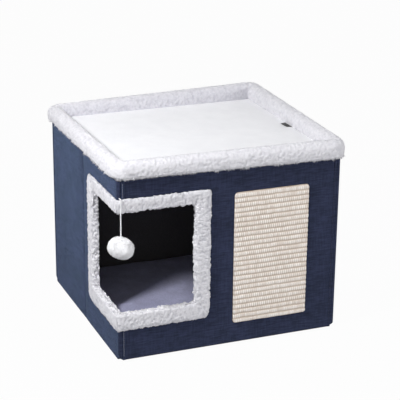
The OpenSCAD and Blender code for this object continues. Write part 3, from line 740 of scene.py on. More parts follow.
def even_shading(obj, base_normals, lock_normals, base_even, lock_even=LOCK_EVEN):
    """Turns the shading of pile towards the even surface under it, as light spreads inside the pile."""
    mesh = obj.data
    own = np.empty(len(mesh.vertices) * 3, np.float32)
    mesh.vertex_normals.foreach_get("vector", own)
    even = np.vstack([base_normals, np.repeat(lock_normals, LOCK_POINTS, axis=0)])
    share = np.where(np.arange(len(even)) < len(base_normals), base_even, lock_even)[:, None]
    mixed = unit((1 - share) * own.reshape(-1, 3) + share * even)
    mesh.normals_split_custom_set_from_vertices(mixed.tolist())


def pile_cover(grid, shown):
    """1 over the shown run of a sweep's sections, fading at its two ends, and 0 over the hidden run."""
    cover, at = np.zeros(grid.shape[:2]), np.arange(shown)
    cover[:, :shown] = np.clip(np.minimum(at, shown - 1 - at) / 2.0, 0, 1)
    return cover


def fleece_sweep(name, grid, normals, cover, lean, tufts, seed, look, turned,
                 close_rows=False, fringe=None, painted_shade=0.0):
    """A swept grid turned into fleece. cover is 1 where pile shows and 0 where the backing is seated.
    lean is how the locks lie at each grid point and tufts is how thickly they stand there.
    Its last argument darkens the pile at each grid point, as painted shade."""
    flat, n, c = grid.reshape(-1, 3), normals.reshape(-1, 3), cover.reshape(-1)
    big = pebbles(flat, CLUMP, seed)
    small = pebbles(flat, CLUMP * 0.5, seed + 5)
    height = 0.55 * big + 0.35 * small + 0.05 * (1 + lumps(flat, CLUMP * 2.5, seed + 9))
    rise, depth, drop, lift, even = look
    moved = flat + n * (c * (rise * height - PILE_SINK))[:, None]
    faces = grid_faces(grid.shape[0], grid.shape[1], close_rows, True)
    if turned:
        faces = faces[:, ::-1]
    # painted shade: the pile is darker in the gaps between clumps, and on the rim darker all over
    pile = np.where(c > 0.02, 1 - drop - depth * (1 - height) - np.ravel(painted_shade), 0.3)
    bunched = np.clip(0.35 + 1.3 * lumps(flat, BUNCH, seed + 13), 0.02, 1).reshape(cover.shape)
    at = scatter(moved.reshape(grid.shape), cover * tufts * bunched, SWEEP_LOCKS, close_rows)
    roots, root_normals = at(moved), unit(at(n))
    swirl = along_surface(rng.normal(size=(SWEEP_LOCKS, 3)), root_normals)
    way = unit(along_surface(at(lean), root_normals) + 0.55 * swirl)
    length, width = rng.uniform(*LOCK_LENGTH, SWEEP_LOCKS), rng.uniform(*LOCK_WIDTH, SWEEP_LOCKS)
    curl = rng.uniform(-1, 1, SWEEP_LOCKS)
    parts = [locks(roots - LOCK_SINK * root_normals, root_normals, way, length, width, curl)]
    lock_normals = [root_normals]
    if fringe is not None:
        parts.append(fringe[0])
        lock_normals.append(fringe[1])
    obj = join_fleece(name, moved, faces, pile, parts, FLEECE)
    if not close_rows:
        first = np.arange(grid.shape[1])
        cap_ends(obj, [first[::-1], (grid.shape[0] - 1) * grid.shape[1] + first])
    lifted = (0.0, 0.0, lift)
    even_shading(obj, unit(n + lifted), unit(np.vstack(lock_normals) + lifted), even)
    return obj


def taken(bm):
    """Points and faces of a bmesh, which is freed."""
    bm.verts.index_update()
    verts = np.array([v.co for v in bm.verts])
    faces = [tuple(v.index for v in f.verts) for f in bm.faces]
    bm.free()
    return verts, faces


def cap_ends(obj, loops):
    """Closes the two open ends of a swept base with a face each."""
    bm = bmesh.new()
    bm.from_mesh(obj.data)
    bm.verts.ensure_lookup_table()
    for loop in loops:
        face = bm.faces.new([bm.verts[int(i)] for i in loop])
        bmesh.ops.triangulate(bm, faces=[face])
    bm.to_mesh(obj.data)
    bm.free()


# Trim: k runs from -1 at the lip to 1 at the outer edge, v is off the wall face
def trim_section():
    """Section of the trim, with the shown run first and the run that is seated on the wall after it."""
    p, t = TRIM_PROUD, WALL_T
    shown = [(-0.7, -t), (-1.0, -0.7 * t), (-1.0, 0.2 * p), (-0.75, 0.62 * p), (-0.2, 0.92 * p), (0.12, p),
             (0.7, p), (0.9, 0.82 * p), (1.0, 0.45 * p), (1.0, 0.1 * p)]
    scale = np.array([0.5 * (TRIM_LIP + TRIM_SIDE), 1.0])
    line = smooth_line(np.array(shown) * scale, TRIM_STEP) / scale
    back = np.array([(0.97, 0.0), (0.5, 0.0), (0.0, 0.0), (0.0, -0.5 * t), (0.0, -t)])
    return np.vstack([line, back]), len(line)


def trim_out(k, width):
    """Distance from the cut edge, with width the trim's width on the wall."""
    return np.where(k > 0, k * width, k * TRIM_LIP)


def corner_path(run):
    """The outer face of the trim from the middle of its rounded near corner: along the wall, off the wall."""
    middle = TRIM_ROUND - TRIM_PROUD
    turn = np.radians(np.linspace(45, 90, 7)[:-1])
    bend = np.column_stack([middle - TRIM_ROUND * np.cos(turn), TRIM_ROUND * np.sin(turn) - middle])
    straight = np.linspace(middle, run, round((run - middle) / TRIM_STEP), endpoint=False)
    return np.vstack([bend, np.column_stack([straight, np.full(len(straight), TRIM_PROUD)])])


def trim_grid(reach):
    """Points of the trim as rows of sections from its upper to its lower near corner.
    Each point is given along the wall, off it and up."""
    section, shown = trim_section()
    k, v = section[:, 0], section[:, 1]
    turn = np.radians(np.linspace(0, 90, CORNER_STEPS))
    outer = corner_path(reach - OPEN_CORNER)
    shares = np.linspace(0, 1, len(outer), endpoint=False)
    rows = []

    def hanging(amount):
        """The section with its lip flattened, as the pile hangs over the entrance."""
        return np.where(v > 0, v * (1 - TRIM_SAG * amount * (1 - k) / 2), v)

    def strip(edge, sign, width, order):
        for i in order:
            along, off = outer[i]
            low = hanging(sign > 0)
            low = np.where(low > 0, low * off / TRIM_PROUD, low)
            spots_along = along + (off - low) * (1 - shares[i])
            rows.append(np.stack([spots_along, low, edge + sign * trim_out(k, width)], axis=1))

    def corner(edge, sign, width, square, angles):
        power = np.where(k > 0, 1 - square * k, 1.0)
        for f in angles:
            along = (OPEN_CORNER + trim_out(k, TRIM_SIDE)) * max(math.cos(f), 0) ** power
            rise = (OPEN_CORNER + trim_out(k, width)) * math.sin(f) ** power
            low = hanging(math.sin(f) if sign > 0 else 0.0)
            up = edge + sign * (rise - OPEN_CORNER)
            rows.append(np.stack([reach - OPEN_CORNER + along, low, up], axis=1))

    count = len(outer)
    strip(OPEN_TOP, 1, TRIM_TOP, range(count))
    corner(OPEN_TOP, 1, TRIM_TOP, SQUARE_TOP, turn[::-1])
    high, low_end = OPEN_TOP - OPEN_CORNER, OPEN_BOTTOM + OPEN_CORNER
    for z in np.linspace(high, low_end, round((high - low_end) / TRIM_STEP))[1:-1]:
        rows.append(np.stack([reach + trim_out(k, TRIM_SIDE), v, np.full(len(k), z)], axis=1))
    corner(OPEN_BOTTOM, -1, TRIM_BOTTOM, SQUARE_BOTTOM, turn)
    strip(OPEN_BOTTOM, -1, TRIM_BOTTOM, range(count - 1, -1, -1))
    return np.array(rows), k, v, shown


def add_trim(node, body, reach, place, seed):
    """place puts points given along, off and up the wall into the row frame, right-handed or not."""
    local, k, v, shown = trim_grid(reach)
    grid = place(local)
    wide = unit(grid[:, int(np.argmax(k))] - grid[:, int(np.argmin(k))])
    flat = grid.reshape(-1, 3)
    wide_lumps, fine_lumps = lumps(flat, UNEVEN_WIDE, seed + 3), lumps(flat, UNEVEN_FINE, seed + 4)
    uneven = EDGE_UNEVEN * (0.6 * wide_lumps + 0.7 * fine_lumps)
    outer_edge = np.clip((k - 0.55) / 0.4, 0, 1) * (v > 0)
    at_edge = np.where(k > 0, outer_edge, LIP_UNEVEN * np.clip((-k - 0.3) / 0.4, 0, 1))
    grid = grid + wide[:, None] * (uneven.reshape(grid.shape[:2]) * at_edge)[..., None]
    normals = sweep_normals(grid, False)
    middle = len(grid) // 2, int(np.argmax(v))
    off_wall = place(np.array([[[0.1, 1.0, 0.1]]])) - place(np.array([[[0.1, 0.0, 0.1]]]))
    flipped = (normals[middle] * off_wall[0, 0]).sum() < 0
    if flipped:
        normals = -normals
    cover = pile_cover(grid, shown)
    spread = np.sign(k + 0.1) * np.abs(k + 0.1) ** 0.5
    lean = wide[:, None] * spread[None, :, None]
    tufts = np.broadcast_to(np.where(np.abs(k - 0.05) > 0.75, 1.0, 0.07), cover.shape)
    obj = fleece_sweep("fleece_" + node, grid, normals, cover, lean, tufts, seed, TRIM_LOOK, not flipped)
    stands_for(obj, body, "white_fleece", node)
    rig.padded(obj, fill=PILE_FILL)


# Lid rim: u runs out from its inner face; sags are at the left front, right front, left back and right back
RIM_INNER_R, RIM_OUTER_R, RIM_HIDDEN_R = 0.003, 0.025, 0.0035
SKIRT_ROOM, CORE_ROOM = 0.001, 0.0003
CREST_SAG = (0.0, -0.004, -0.0045, 0.004)
FOOT_SAG = (0.0062, -0.0025, 0.006, -0.001)
SAG_FADE = 0.014
FOOT_TUFTS = 0.008
FRINGE_BUNCH, FRINGE_WIDTH = 0.008, (0.0009, 0.0016)
FRINGE_LEAST, FRINGE_CLUMP, FRINGE_MORE = 0.0016, 0.0046, 0.0016
# How much darker the inner face of the back rim is painted: painted shade
REAR_PAINTED_SHADE = 0.32


def rim_section():
    """Section of the rim, with the shown run first and the hidden run round the core after it."""
    w, tray, low, top = RIM_WIDTH, TRAY_Z, RIM_LO.z, RIM_HI.z
    rise = top - tray
    skirt = X_OUT + SKIRT_ROOM - RIM_IN_X
    core_lo, core_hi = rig.box("rim_core_right")
    c_in, c_out = core_lo.x - RIM_IN_X - CORE_ROOM, core_hi.x - RIM_IN_X + CORE_ROOM
    c_top = core_hi.z + CORE_ROOM
    inner = [(0.0, tray + 0.0003), (0.0, tray + 0.55 * rise), (0.1 * w, tray + 0.8 * rise)]
    crest = [(0.28 * w, top - 0.05 * rise), (0.48 * w, top), (0.7 * w, top - 0.06 * rise)]
    outer = [(0.89 * w, top - 0.24 * rise), (0.98 * w, top - 0.48 * rise), (w, top - 0.74 * rise)]
    foot = [(0.98 * w, tray - 0.002), (0.9 * w, low + 0.0016), (0.76 * w, low),
            (skirt + 0.0004, low + 0.0006)]
    line = smooth_line(inner + crest + outer + foot, RIM_STEP)
    hidden = [(skirt, low + 0.0016), (skirt, tray - 0.0006)]
    hidden += [(c_out, tray), (c_out, c_top), (c_in, c_top), (c_in, tray)]
    return np.vstack([line, hidden]), len(line)


def by_corner(grid, left_front, right_front, left_back, right_back):
    """A value for each point, mixed from its values at the four corners."""
    r = np.clip((grid[..., 0] + X_OUT) / (2 * X_OUT), 0, 1)
    b = np.clip((grid[..., 1] + Y_OUT) / (2 * Y_OUT), 0, 1)
    front = left_front * (1 - r) + right_front * r
    back = left_back * (1 - r) + right_back * r
    return front * (1 - b) + back * b


def rim_sag(grid, u):
    """How far the soft rim sits off its plain height at its crest and at its foot, as in the photograph."""
    crest = by_corner(grid, *CREST_SAG)
    foot = by_corner(grid, *FOOT_SAG)
    z = grid[..., 2]
    outside = np.clip((z - RIM_LO.z) / (RIM_HI.z - RIM_LO.z), 0, 1)
    inside_share = np.clip((z - TRAY_Z) / SAG_FADE, 0, 1)
    out = np.clip((u - 0.35 * RIM_WIDTH) / (0.2 * RIM_WIDTH), 0, 1)[None]
    return out * (foot + (crest - foot) * outside) + (1 - out) * crest * inside_share


def rim_fringe(grid, normals, shown):
    """A row of small tufts that hang from the foot of the rim."""
    count = FRINGE_LOCKS
    foot = int(np.argmin(grid[0, :shown, 2]))
    row = rng.integers(0, len(grid), count)
    column = foot - rng.integers(2, 6, count)
    roots, out = grid[row, column], normals[row, foot - 9]
    sway = 0.35 * rng.normal(size=(count, 3)) * (1, 1, 0.2)
    lean = unit(sway - (0.0, 0.0, 1.0))
    clump = np.clip(0.5 + 0.9 * lumps(roots * (1, 1, 0), FRINGE_BUNCH, 33), 0, 1)
    length = FRINGE_LEAST + FRINGE_CLUMP * clump * rng.uniform(0.5, 1.0, count)
    length = length + rng.uniform(0, FRINGE_MORE, count)
    width = rng.uniform(*FRINGE_WIDTH, count)
    return locks(roots, out, lean, length, width, rng.uniform(-1, 1, count)), out


def add_rim():
    """The rolled rim, swept round the tray with a wider bend at its outer face than at its inner one."""
    section, shown = rim_section()
    u, z = section[:, 0], section[:, 1]
    reach = np.clip(u / RIM_WIDTH, 0, 1)
    radius = RIM_INNER_R + (RIM_OUTER_R - RIM_INNER_R) * reach ** 0.9
    radius[shown:] = RIM_HIDDEN_R
    straight_x, straight_y = RIM_IN_X + u - radius, RIM_IN_Y + u - radius

    def bent(sx, sy, degrees):
        t = math.radians(degrees)
        x, y = sx * straight_x + radius * math.cos(t), sy * straight_y + radius * math.sin(t)
        return np.stack([x, y, z], axis=1)

    rows = []
    corners = ((1, 1), (-1, 1), (-1, -1), (1, -1))
    for quarter, corner in enumerate(corners):
        rows += [bent(*corner, 90 * quarter + a) for a in np.linspace(0, 90, CORNER_STEPS)[:-1]]
        start = bent(*corner, 90 * quarter + 90)
        end = bent(*corners[(quarter + 1) % 4], 90 * quarter + 90)
        run = round(np.linalg.norm(end[0] - start[0]) / RIM_STEP)
        rows += [start + (end - start) * i / run for i in range(run)]
    grid = np.array(rows)
    grid[..., 2] += rim_sag(grid, u) * (np.arange(len(u)) < shown)
    normals = sweep_normals(grid, True)
    cover = pile_cover(grid, shown)
    lean = np.zeros_like(grid)
    lean[..., 2] = -np.clip(1.6 * reach - 0.5, 0.0, 1.0)
    lean[:, :shown] += 0.15 * unit(np.gradient(grid, axis=1))[:, :shown]
    fringe = rim_fringe(grid, normals, shown)
    edge = np.maximum(np.exp(-((reach - 0.45) / 0.25) ** 2), np.clip(0.3 - reach, 0, 0.3))
    tufts = np.broadcast_to(np.where(z < RIM_LO.z + FOOT_TUFTS, 1.0, 0.15 + 0.5 * edge), cover.shape)
    # painted shade: the inner face of the back rim, which faces the front, is painted darker
    painted_shade = REAR_PAINTED_SHADE * np.clip(-normals[..., 1], 0, 1) * (grid[..., 1] > 0)
    obj = fleece_sweep("fleece_rim", grid, normals, cover, lean, tufts, 31, RIM_LOOK, True,
                       close_rows=True, fringe=fringe, painted_shade=painted_shade)
    stands_for(obj, "lid", "white_fleece", "rim_plush")
    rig.padded(obj, fill=PILE_FILL)


# Toy
def tube(path, radius, sides, lay=None):
    """A tube along a path. With a lay, it looks laid from strands that turn once in that length."""
    path = np.asarray(path, float)
    ahead = unit(np.gradient(path, axis=0))
    side = np.zeros_like(path)
    guess = np.array([1.0, 0.0, 0.0]) if abs(ahead[0][0]) < 0.9 else np.array([0.0, 1.0, 0.0])
    for i, a in enumerate(ahead):
        guess = guess - a * (guess @ a)
        guess /= np.linalg.norm(guess)
        side[i] = guess
    other = np.cross(ahead, side)
    angle = 2 * math.pi * np.arange(sides) / sides
    r = np.full((len(path), sides), float(radius))
    if lay:
        run = np.concatenate([[0], np.cumsum(np.linalg.norm(np.diff(path, axis=0), axis=1))])
        strands = np.cos(STRANDS * (angle[None] - 2 * math.pi / lay * run[:, None]))
        r = radius * (1 - STRAND_DEPTH + STRAND_DEPTH * strands)
    ring = np.cos(angle)[None, :, None] * side[:, None] + np.sin(angle)[None, :, None] * other[:, None]
    verts = (path[:, None] + r[..., None] * ring).reshape(-1, 3)
    faces = [tuple(f) for f in grid_faces(len(path), sides, False, True)[:, ::-1]]
    faces += [tuple(range(sides)), tuple((len(path) - 1) * sides + np.arange(sides)[::-1])]
    return verts, faces


CORD_POINTS, CORD_RINGS = 34, 140
CORD_SIDES, KNOT_SIDES, STITCH_SIDES = 15, 10, 5
CORD_LAY, STALK_LAY = 0.011, 0.006
STRANDS, STRAND_DEPTH = 3, 0.12
BEND_HALF = 0.004
KNOT_SIZE, KNOT_RADIUS, STALK_RADIUS = 0.00034, 0.0007, 0.001


def add_cord():
    """The cord hangs straight from its knot into the pom-pom."""

    def hanging(count):
        return [(TOY_X, TOY_Y, z) for z in np.linspace(CORD_TOP, CORD_LOW, count)]

    verts, faces = tube(hanging(CORD_RINGS), CORD_D / 2, CORD_SIDES, CORD_LAY)
    cord = build("toy_cord", verts, faces, YARN)
    bend = [(TOY_X, TOY_Y, BEND_Z + BEND_HALF), (TOY_X, TOY_Y, BEND_Z - BEND_HALF)]
    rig.blend(cord, "toy_link", "toy", start=bend[0], end=bend[1])
    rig.slot(cord, "white_yarn")
    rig.replaces(cord, "toy_cord_upper", "toy_cord_lower")
    return cord, hanging(CORD_POINTS)


def add_knot():
    """A small overhand knot of the same cord, on a stitch that goes into the wall over the trim."""
    centre = np.array([TOY_X, TOY_Y, (KNOT_LO.z + KNOT_HI.z) / 2])
    t = np.linspace(0, 2 * math.pi, 97)
    loop = np.stack([np.sin(t) + 2 * np.sin(2 * t), 1.1 * np.sin(3 * t), np.cos(t) - 2 * np.cos(2 * t)], 1)
    stalk = np.linspace((TOY_X, KNOT_HI.y, centre[2]), centre, 9)
    loop = tube(centre + loop * KNOT_SIZE, KNOT_RADIUS, KNOT_SIDES)
    verts, faces = merged([loop, tube(stalk, STALK_RADIUS, KNOT_SIDES, STALK_LAY)])
    return stands_for(build("cord_knot", verts, faces, YARN), "front_wall", "white_yarn", "toy_knot")


BALL_SHAPE, BALL_TILT = (0.90, 0.90, 0.81), 20
BALL_CURL, BALL_FINE, BALL_RISE, BALL_SINK = 0.0046, 0.0021, 0.0026, 0.0010
END_LENGTH, END_WIDTH, END_SINK = (0.0028, 0.0044), (0.0015, 0.0023), 0.0006
BALL_WRAP, BALL_EVEN = (-0.2, -0.3, 0.4), (0.6, 0.7)


def add_pompom():
    """A trimmed yarn ball, a little flattened and tilted, with a crown of short yarn ends."""
    centre = np.array((BALL_LO + BALL_HI) / 2)
    half = np.array((BALL_HI - BALL_LO) / 2) * BALL_SHAPE
    bm = bmesh.new()
    bmesh.ops.create_icosphere(bm, subdivisions=6, radius=1.0)
    ball, faces = taken(bm)
    tilt = np.array(Matrix.Rotation(math.radians(BALL_TILT), 3, "Y"))
    rough = 1 + 0.05 * lumps(ball, 0.8, 3) + 0.03 * lumps(ball, 0.35, 4)
    shape = (ball * rough[:, None] * half) @ tilt.T
    normals = unit((ball / half) @ tilt.T)
    height = 0.6 * pebbles(shape, BALL_CURL, 61) + 0.4 * pebbles(shape, BALL_FINE, 62)
    base = centre + shape + normals * (BALL_RISE * height - BALL_SINK)[:, None]
    count = BALL_LOCKS
    pick = rng.choice(len(base), count, replace=False)
    swirl = along_surface(rng.normal(size=(count, 3)), normals[pick])
    length, width, curl = (rng.uniform(*span, count) for span in (END_LENGTH, END_WIDTH, (-1, 1)))
    parts = locks(base[pick] - END_SINK * normals[pick], normals[pick], unit(swirl), length, width, curl)
    # painted shade: the ball is darker in the gaps between its clumps
    obj = join_fleece("pompom_yarn", base, np.array(faces), 0.3 + 0.6 * height, [parts], BALL_YARN)
    lifted = unit(normals + BALL_WRAP)
    even_shading(obj, lifted, lifted[pick], *BALL_EVEN)
    return stands_for(obj, "toy", "white_yarn", "pompom")


# Flat cloth
CALM_EDGE, SIDE_STEP = 0.02, 0.0045
NEAR_CORNER = (-1, -1)
CLOTH_LEAST = 0.0002
ARC_STEPS = 6
HEM_ROUND = 0.0005


def inset(loop, distance):
    """A closed outline moved towards its left by a distance, with its corners kept."""
    before = unit(loop - np.roll(loop, 1, 0))
    after = unit(np.roll(loop, -1, 0) - loop)
    left_a = np.stack([-before[:, 1], before[:, 0]], axis=1)
    left_b = np.stack([-after[:, 1], after[:, 0]], axis=1)
    return loop + distance * (left_a + left_b) / (1 + (left_a * left_b).sum(1))[:, None]


def spaced(loop, step):
    """The outline with points added along its long edges."""
    points = []
    for a, b in zip(loop, np.roll(loop, -1, 0)):
        count = max(1, round(np.linalg.norm(b - a) / step))
        points += [a + (b - a) * i / count for i in range(count)]
    return np.array(points)


def arc(centre, radius, start, end):
    angles = np.radians(np.linspace(start, end, ARC_STEPS + 1))
    return [(centre[0] + radius * math.cos(a), centre[1] + radius * math.sin(a)) for a in angles]


def rounded_rectangle(lo, hi, radius):
    """Outline with rounded corners, running anticlockwise."""
    x, y = ((lo[k] + radius, hi[k] - radius) for k in (0, 1))
    loop = []
    for right, back, turn in ((1, 0, -90), (1, 1, 0), (0, 1, 90), (0, 0, 180)):
        loop += arc((x[right], y[back]), radius, turn, turn + 90)
    return np.array(loop)


def notched_panel(near, far, reach):
    """Outline of a wall panel that runs from near to far and is cut back to reach for the entrance."""
    r = OPEN_CORNER
    loop = [(near, SKIN_LOW), (far, SKIN_LOW), (far, WALL_TOP), (near, WALL_TOP), (near, OPEN_TOP)]
    loop += arc((reach - r, OPEN_TOP - r), r, 90, 0)
    loop += arc((reach - r, OPEN_BOTTOM + r), r, 0, -90)
    loop.append((near, OPEN_BOTTOM))
    return np.array(loop)


def plain_panel(near, far):
    return np.array([(near, SKIN_LOW), (far, SKIN_LOW), (far, WALL_TOP), (near, WALL_TOP)])


def inside(points, loops):
    """Which points lie in the cloth, by counting crossings over all its outlines."""
    odd = np.zeros(len(points), bool)
    x, y = points[:, 0], points[:, 1]
    for loop in loops:
        for (ax, ay), (bx, by) in zip(loop, np.roll(loop, -1, 0)):
            if ay != by:
                odd ^= ((ay > y) != (by > y)) & (x < ax + (y - ay) * (bx - ax) / (by - ay))
    return odd


def edge_distance(points, loops):
    """Distance of each point from the nearest outline."""
    best = np.full(len(points), 9.0)
    for loop in loops:
        for a, b in zip(loop, np.roll(loop, -1, 0)):
            t = np.clip(((points - a) @ (b - a)) / max((b - a) @ (b - a), 1e-12), 0, 1)
            best = np.minimum(best, np.linalg.norm(points - a - t[:, None] * (b - a), axis=1))
    return best


def cut_cloth(loops, step, soft):
    """Triangles over outlines whose cloth is on their left.
    Each point also gets how far its edge is rounded down."""
    points, drop, edges = [], [], []
    for loop in loops:
        dense = spaced(loop, step)
        for t in (0.0, 0.35, 0.7, 1.0):
            ring = inset(dense, soft * (1 - math.cos(t * math.pi / 2)))
            first = len(points)
            count = len(ring)
            points += ring.tolist()
            drop += [soft * (1 - math.sin(t * math.pi / 2))] * count
            edges += [(first + i, first + (i + 1) % count) for i in range(count)]
    lo, hi = loops[0].min(0), loops[0].max(0)
    counts = np.maximum(1, np.round((hi - lo) / step).astype(int))
    xs, ys = (np.linspace(lo[k], hi[k], counts[k] + 1) for k in (0, 1))
    lattice = np.stack(np.meshgrid(xs, ys), axis=-1).reshape(-1, 2)
    lattice = lattice[inside(lattice, loops)]
    lattice = lattice[edge_distance(lattice, loops) > soft + 0.45 * step]
    points += lattice.tolist()
    drop += [0.0] * len(lattice)
    made = delaunay_2d_cdt([Vector(p) for p in points], edges, [], 0, 1e-7)
    flat = np.array([tuple(v) for v in made[0]])
    down = np.array([max(drop[i] for i in origin) if origin else 0.0 for origin in made[3]])
    tris = np.array([tuple(f) for f in made[2]])
    return flat, down, tris[inside(flat[tris].mean(1), loops)]


def outer_edges(tris):
    """The edges that belong to one triangle only, in that triangle's direction."""
    pairs = np.concatenate([tris[:, [0, 1]], tris[:, [1, 2]], tris[:, [2, 0]]])
    known = {tuple(p) for p in pairs.tolist()}
    return [(a, b) for a, b in pairs.tolist() if (b, a) not in known]


def cloth_solid(loops, place, thickness, step=0.009, soft=0.0008, wave=0.0003, wave_size=0.055, seed=1,
                pressed=0.0):
    """A thin closed cloth panel. place takes points on the panel and how far out from its face they are.
    pressed is the depth of the valley beside a side wall's crease."""
    flat, down, tris = cut_cloth(loops, step, soft)
    level = place(flat, -down)
    calm = np.clip(edge_distance(flat, loops) / CALM_EDGE, 0, 1)
    push = wave * (lumps(level, wave_size, seed) + 0.5 * lumps(level, wave_size * 0.4, seed + 1)) * calm
    out = push - down - wave
    if pressed:
        valley = np.minimum(np.exp(-flat[:, 0] / CREASE_REAR), np.exp(flat[:, 0] / CREASE_FRONT))
        out = np.maximum(out - pressed * valley, CLOTH_LEAST - thickness)
    n = len(flat)
    faces = tris.tolist() + (tris[:, ::-1] + n).tolist()
    faces += [(b, a, a + n, b + n) for a, b in outer_edges(tris)]
    return np.vstack([place(flat, out), place(flat, np.full(n, -thickness))]), faces


def soft_bar(lo, hi):
    """A bar with rounded edges between two corners."""
    bm = bmesh.new()
    bmesh.ops.create_cube(bm, size=1.0)
    size = np.maximum(np.array(hi) - np.array(lo), 1e-5)
    for v in bm.verts:
        v.co = Vector(np.array(lo) + (np.array(v.co) + 0.5) * size)
    offset = min(HEM_ROUND, 0.45 * float(size.min()))
    bmesh.ops.bevel(bm, geom=bm.edges[:], offset=offset, segments=2, affect="EDGES")
    return taken(bm)


def merged(parts):
    """One set of points and faces from several."""
    verts, faces, start = [], [], 0
    for v, f in parts:
        verts.append(np.asarray(v))
        faces += [tuple(int(i) + start for i in face) for face in f]
        start += len(v)
    return np.vstack(verts), faces


def outward(obj):
    """Turns the faces of closed shells outward."""
    bm = bmesh.new()
    bm.from_mesh(obj.data)
    bmesh.ops.recalc_face_normals(bm, faces=bm.faces[:])
    bm.to_mesh(obj.data)
    bm.free()
    return obj


def add_panel(name, body, slot, material, node, board, loops, place, thickness, hems=(), held="stretched",
              **look):
    """A sheet cut to outlines, with its turned hems: a cover or lining glued on its board, or the mat."""
    parts = [cloth_solid(loops, place, thickness, **look)] + [soft_bar(*hem) for hem in hems]
    obj = outward(build(name, *merged(parts), material))
    stands_for(obj, body, slot, node)
    size, area = loops[0].max(0) - loops[0].min(0), 0.0
    for loop in loops:
        nxt = np.roll(loop, -1, 0)
        area += 0.5 * float((loop[:, 0] * nxt[:, 1] - nxt[:, 0] * loop[:, 1]).sum())
    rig.sheet(obj, flat=(float(size[0]), float(size[1])), held=held, rests_on=[board], area=area)


def add_wall(word, body, material, cover, lining, axis, sign, faces, hems, seed, **look):
    """Cover and lining on the faces of one board; faces is how far from the middle their outsides are."""
    board = word + "_board"
    add_panel("linen_" + word, body, "navy_linen", material, word + "_cover", board, cover,
              wall_place(axis, sign, faces[0]), COVER_T, hems, seed=seed[0], **look)
    add_panel("lining_" + word, body, "black_lining", BLACK, word + "_lining", board, lining,
              wall_place(axis, sign, faces[1], -1), LINING_T, wave=0.0002, soft=0.0005, seed=seed[1])


def wall_place(axis, sign, face, facing=1):
    """Puts points of a panel at a wall: axis is 0 for a wall that faces along X and 1 along Y.
    facing is -1 inside."""

    def place(flat, out):
        spot = np.empty((len(flat), 3))
        spot[:, axis] = sign * (face + facing * out)
        spot[:, 1 - axis] = flat[:, 0]
        spot[:, 2] = flat[:, 1]
        return spot

    return place


def add_long_wall(word, sign):
    """Cover and lining of the front or back wall. The front has the entrance, and a window behind the pad."""
    board_lo, board_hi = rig.box(word + "_board")
    hem = ((-X_IN, board_lo.y, WALL_TOP - HEM), (X_IN, board_hi.y, WALL_TOP))
    outline = plain_panel(-X_IN, X_IN) if sign > 0 else notched_panel(-X_IN, X_IN, REACH_FRONT - X_OUT)
    cover, lining = [outline], [outline]
    if sign < 0:
        g = PAD_ROOM
        window = rounded_rectangle((PAD_LO.x - g, PAD_LO.z - g), (PAD_HI.x + g, PAD_HI.z + g), PAD_CORNER + g)
        cover.append(window[::-1])
    add_wall(word, word + "_wall", NAVY, cover, lining, 1, sign, (Y_OUT, Y_IN), [hem], (11 + sign, 21 + sign))


def add_side_half(word, sx, sy):
    """Cover and lining of one half of a side wall, between its crease and its corner."""
    near, far = sorted((sy * HALF_NEAR, sy * HALF_FAR))
    board_lo, board_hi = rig.box(word + "_board")
    top = ((board_lo.x, near, WALL_TOP - HEM), (board_hi.x, far, WALL_TOP))
    crease = sorted((sy * HALF_NEAR, sy * (HALF_NEAR + HEM)))
    edge = ((board_lo.x, crease[0], SKIN_LOW), (board_hi.x, crease[1], WALL_TOP - HEM))
    outline = plain_panel(near, far)
    if (sx, sy) == NEAR_CORNER:
        outline = notched_panel(near, far, REACH_SIDE - Y_OUT)
    seed = 40 + 3 * sx + sy
    # the side walls take the linen with painted shade and highlight on its threads
    add_wall(word, word + "_half", NAVY_CREASED_PAINTED_LIGHT, [outline], [outline], 0, sx, (X_OUT, X_IN), [top, edge],
             (seed, seed + 7), step=SIDE_STEP, pressed=CREASE_PRESS)


# Corner strips
LIP_END = 0.0128
LIP_RISE, PLAIN_RISE = 0.0024, 0.0003
STRIP_ROUND = 0.0045
FOOT_WIDE, FOOT_TALL = 0.0078, 0.013
STITCH_PITCH, STITCH_LENGTH, STITCH_RADIUS, STITCH_RISE = 0.0042, 0.0034, 0.00028, 0.00035
STITCH_FIRST, STITCH_LAST = 0.010, 0.004
STRIP_EASE, STRIP_SWAY = 0.0006, 0.00018
STRIP_STEP, SWAY_SIZE, STRIP_MIDDLE = 0.008, 0.05, np.array([0.004, 0.004])


def strip_section(rise):
    """Section of a corner strip: first along the long wall, then along the side wall, both from the corner.
    A groove parts it from the turned edge of the long wall's cover, which stands beside it as a lip."""
    r, out, w = STRIP_ROUND, 0.0003, WALL_T
    loop = [(w, w - 0.0002), (w, 0.0003), (LIP_END, 0.0003), (LIP_END, 0.0), (w + 0.0026, -0.55 * rise)]
    loop += [(w + 0.0012, -rise), (w + 0.0005, -rise), (w, -0.7 * rise), (w - 0.0006, 0.0003)]
    loop += [(w - 0.0009, 0.0009), (w - 0.0014, 0.0010), (w - 0.0019, 0.0003), (w - 0.0026, -out)]
    turn = np.radians(np.linspace(0, 90, 9))
    loop += [(r - (r + out) * math.sin(a), r - (r + out) * math.cos(a)) for a in turn]
    loop += [(-out, w - 0.002), (-out * 0.5, w - 0.0008), (0.0004, w - 0.0002)]
    return np.array(loop)


def foot_inset(z):
    """How far the rounded lower end of a strip is drawn in at a height."""
    short = max(1 - (z - SKIN_LOW) / FOOT_TALL, 0.0)
    return FOOT_WIDE * (1 - math.sqrt(1 - short ** 2))


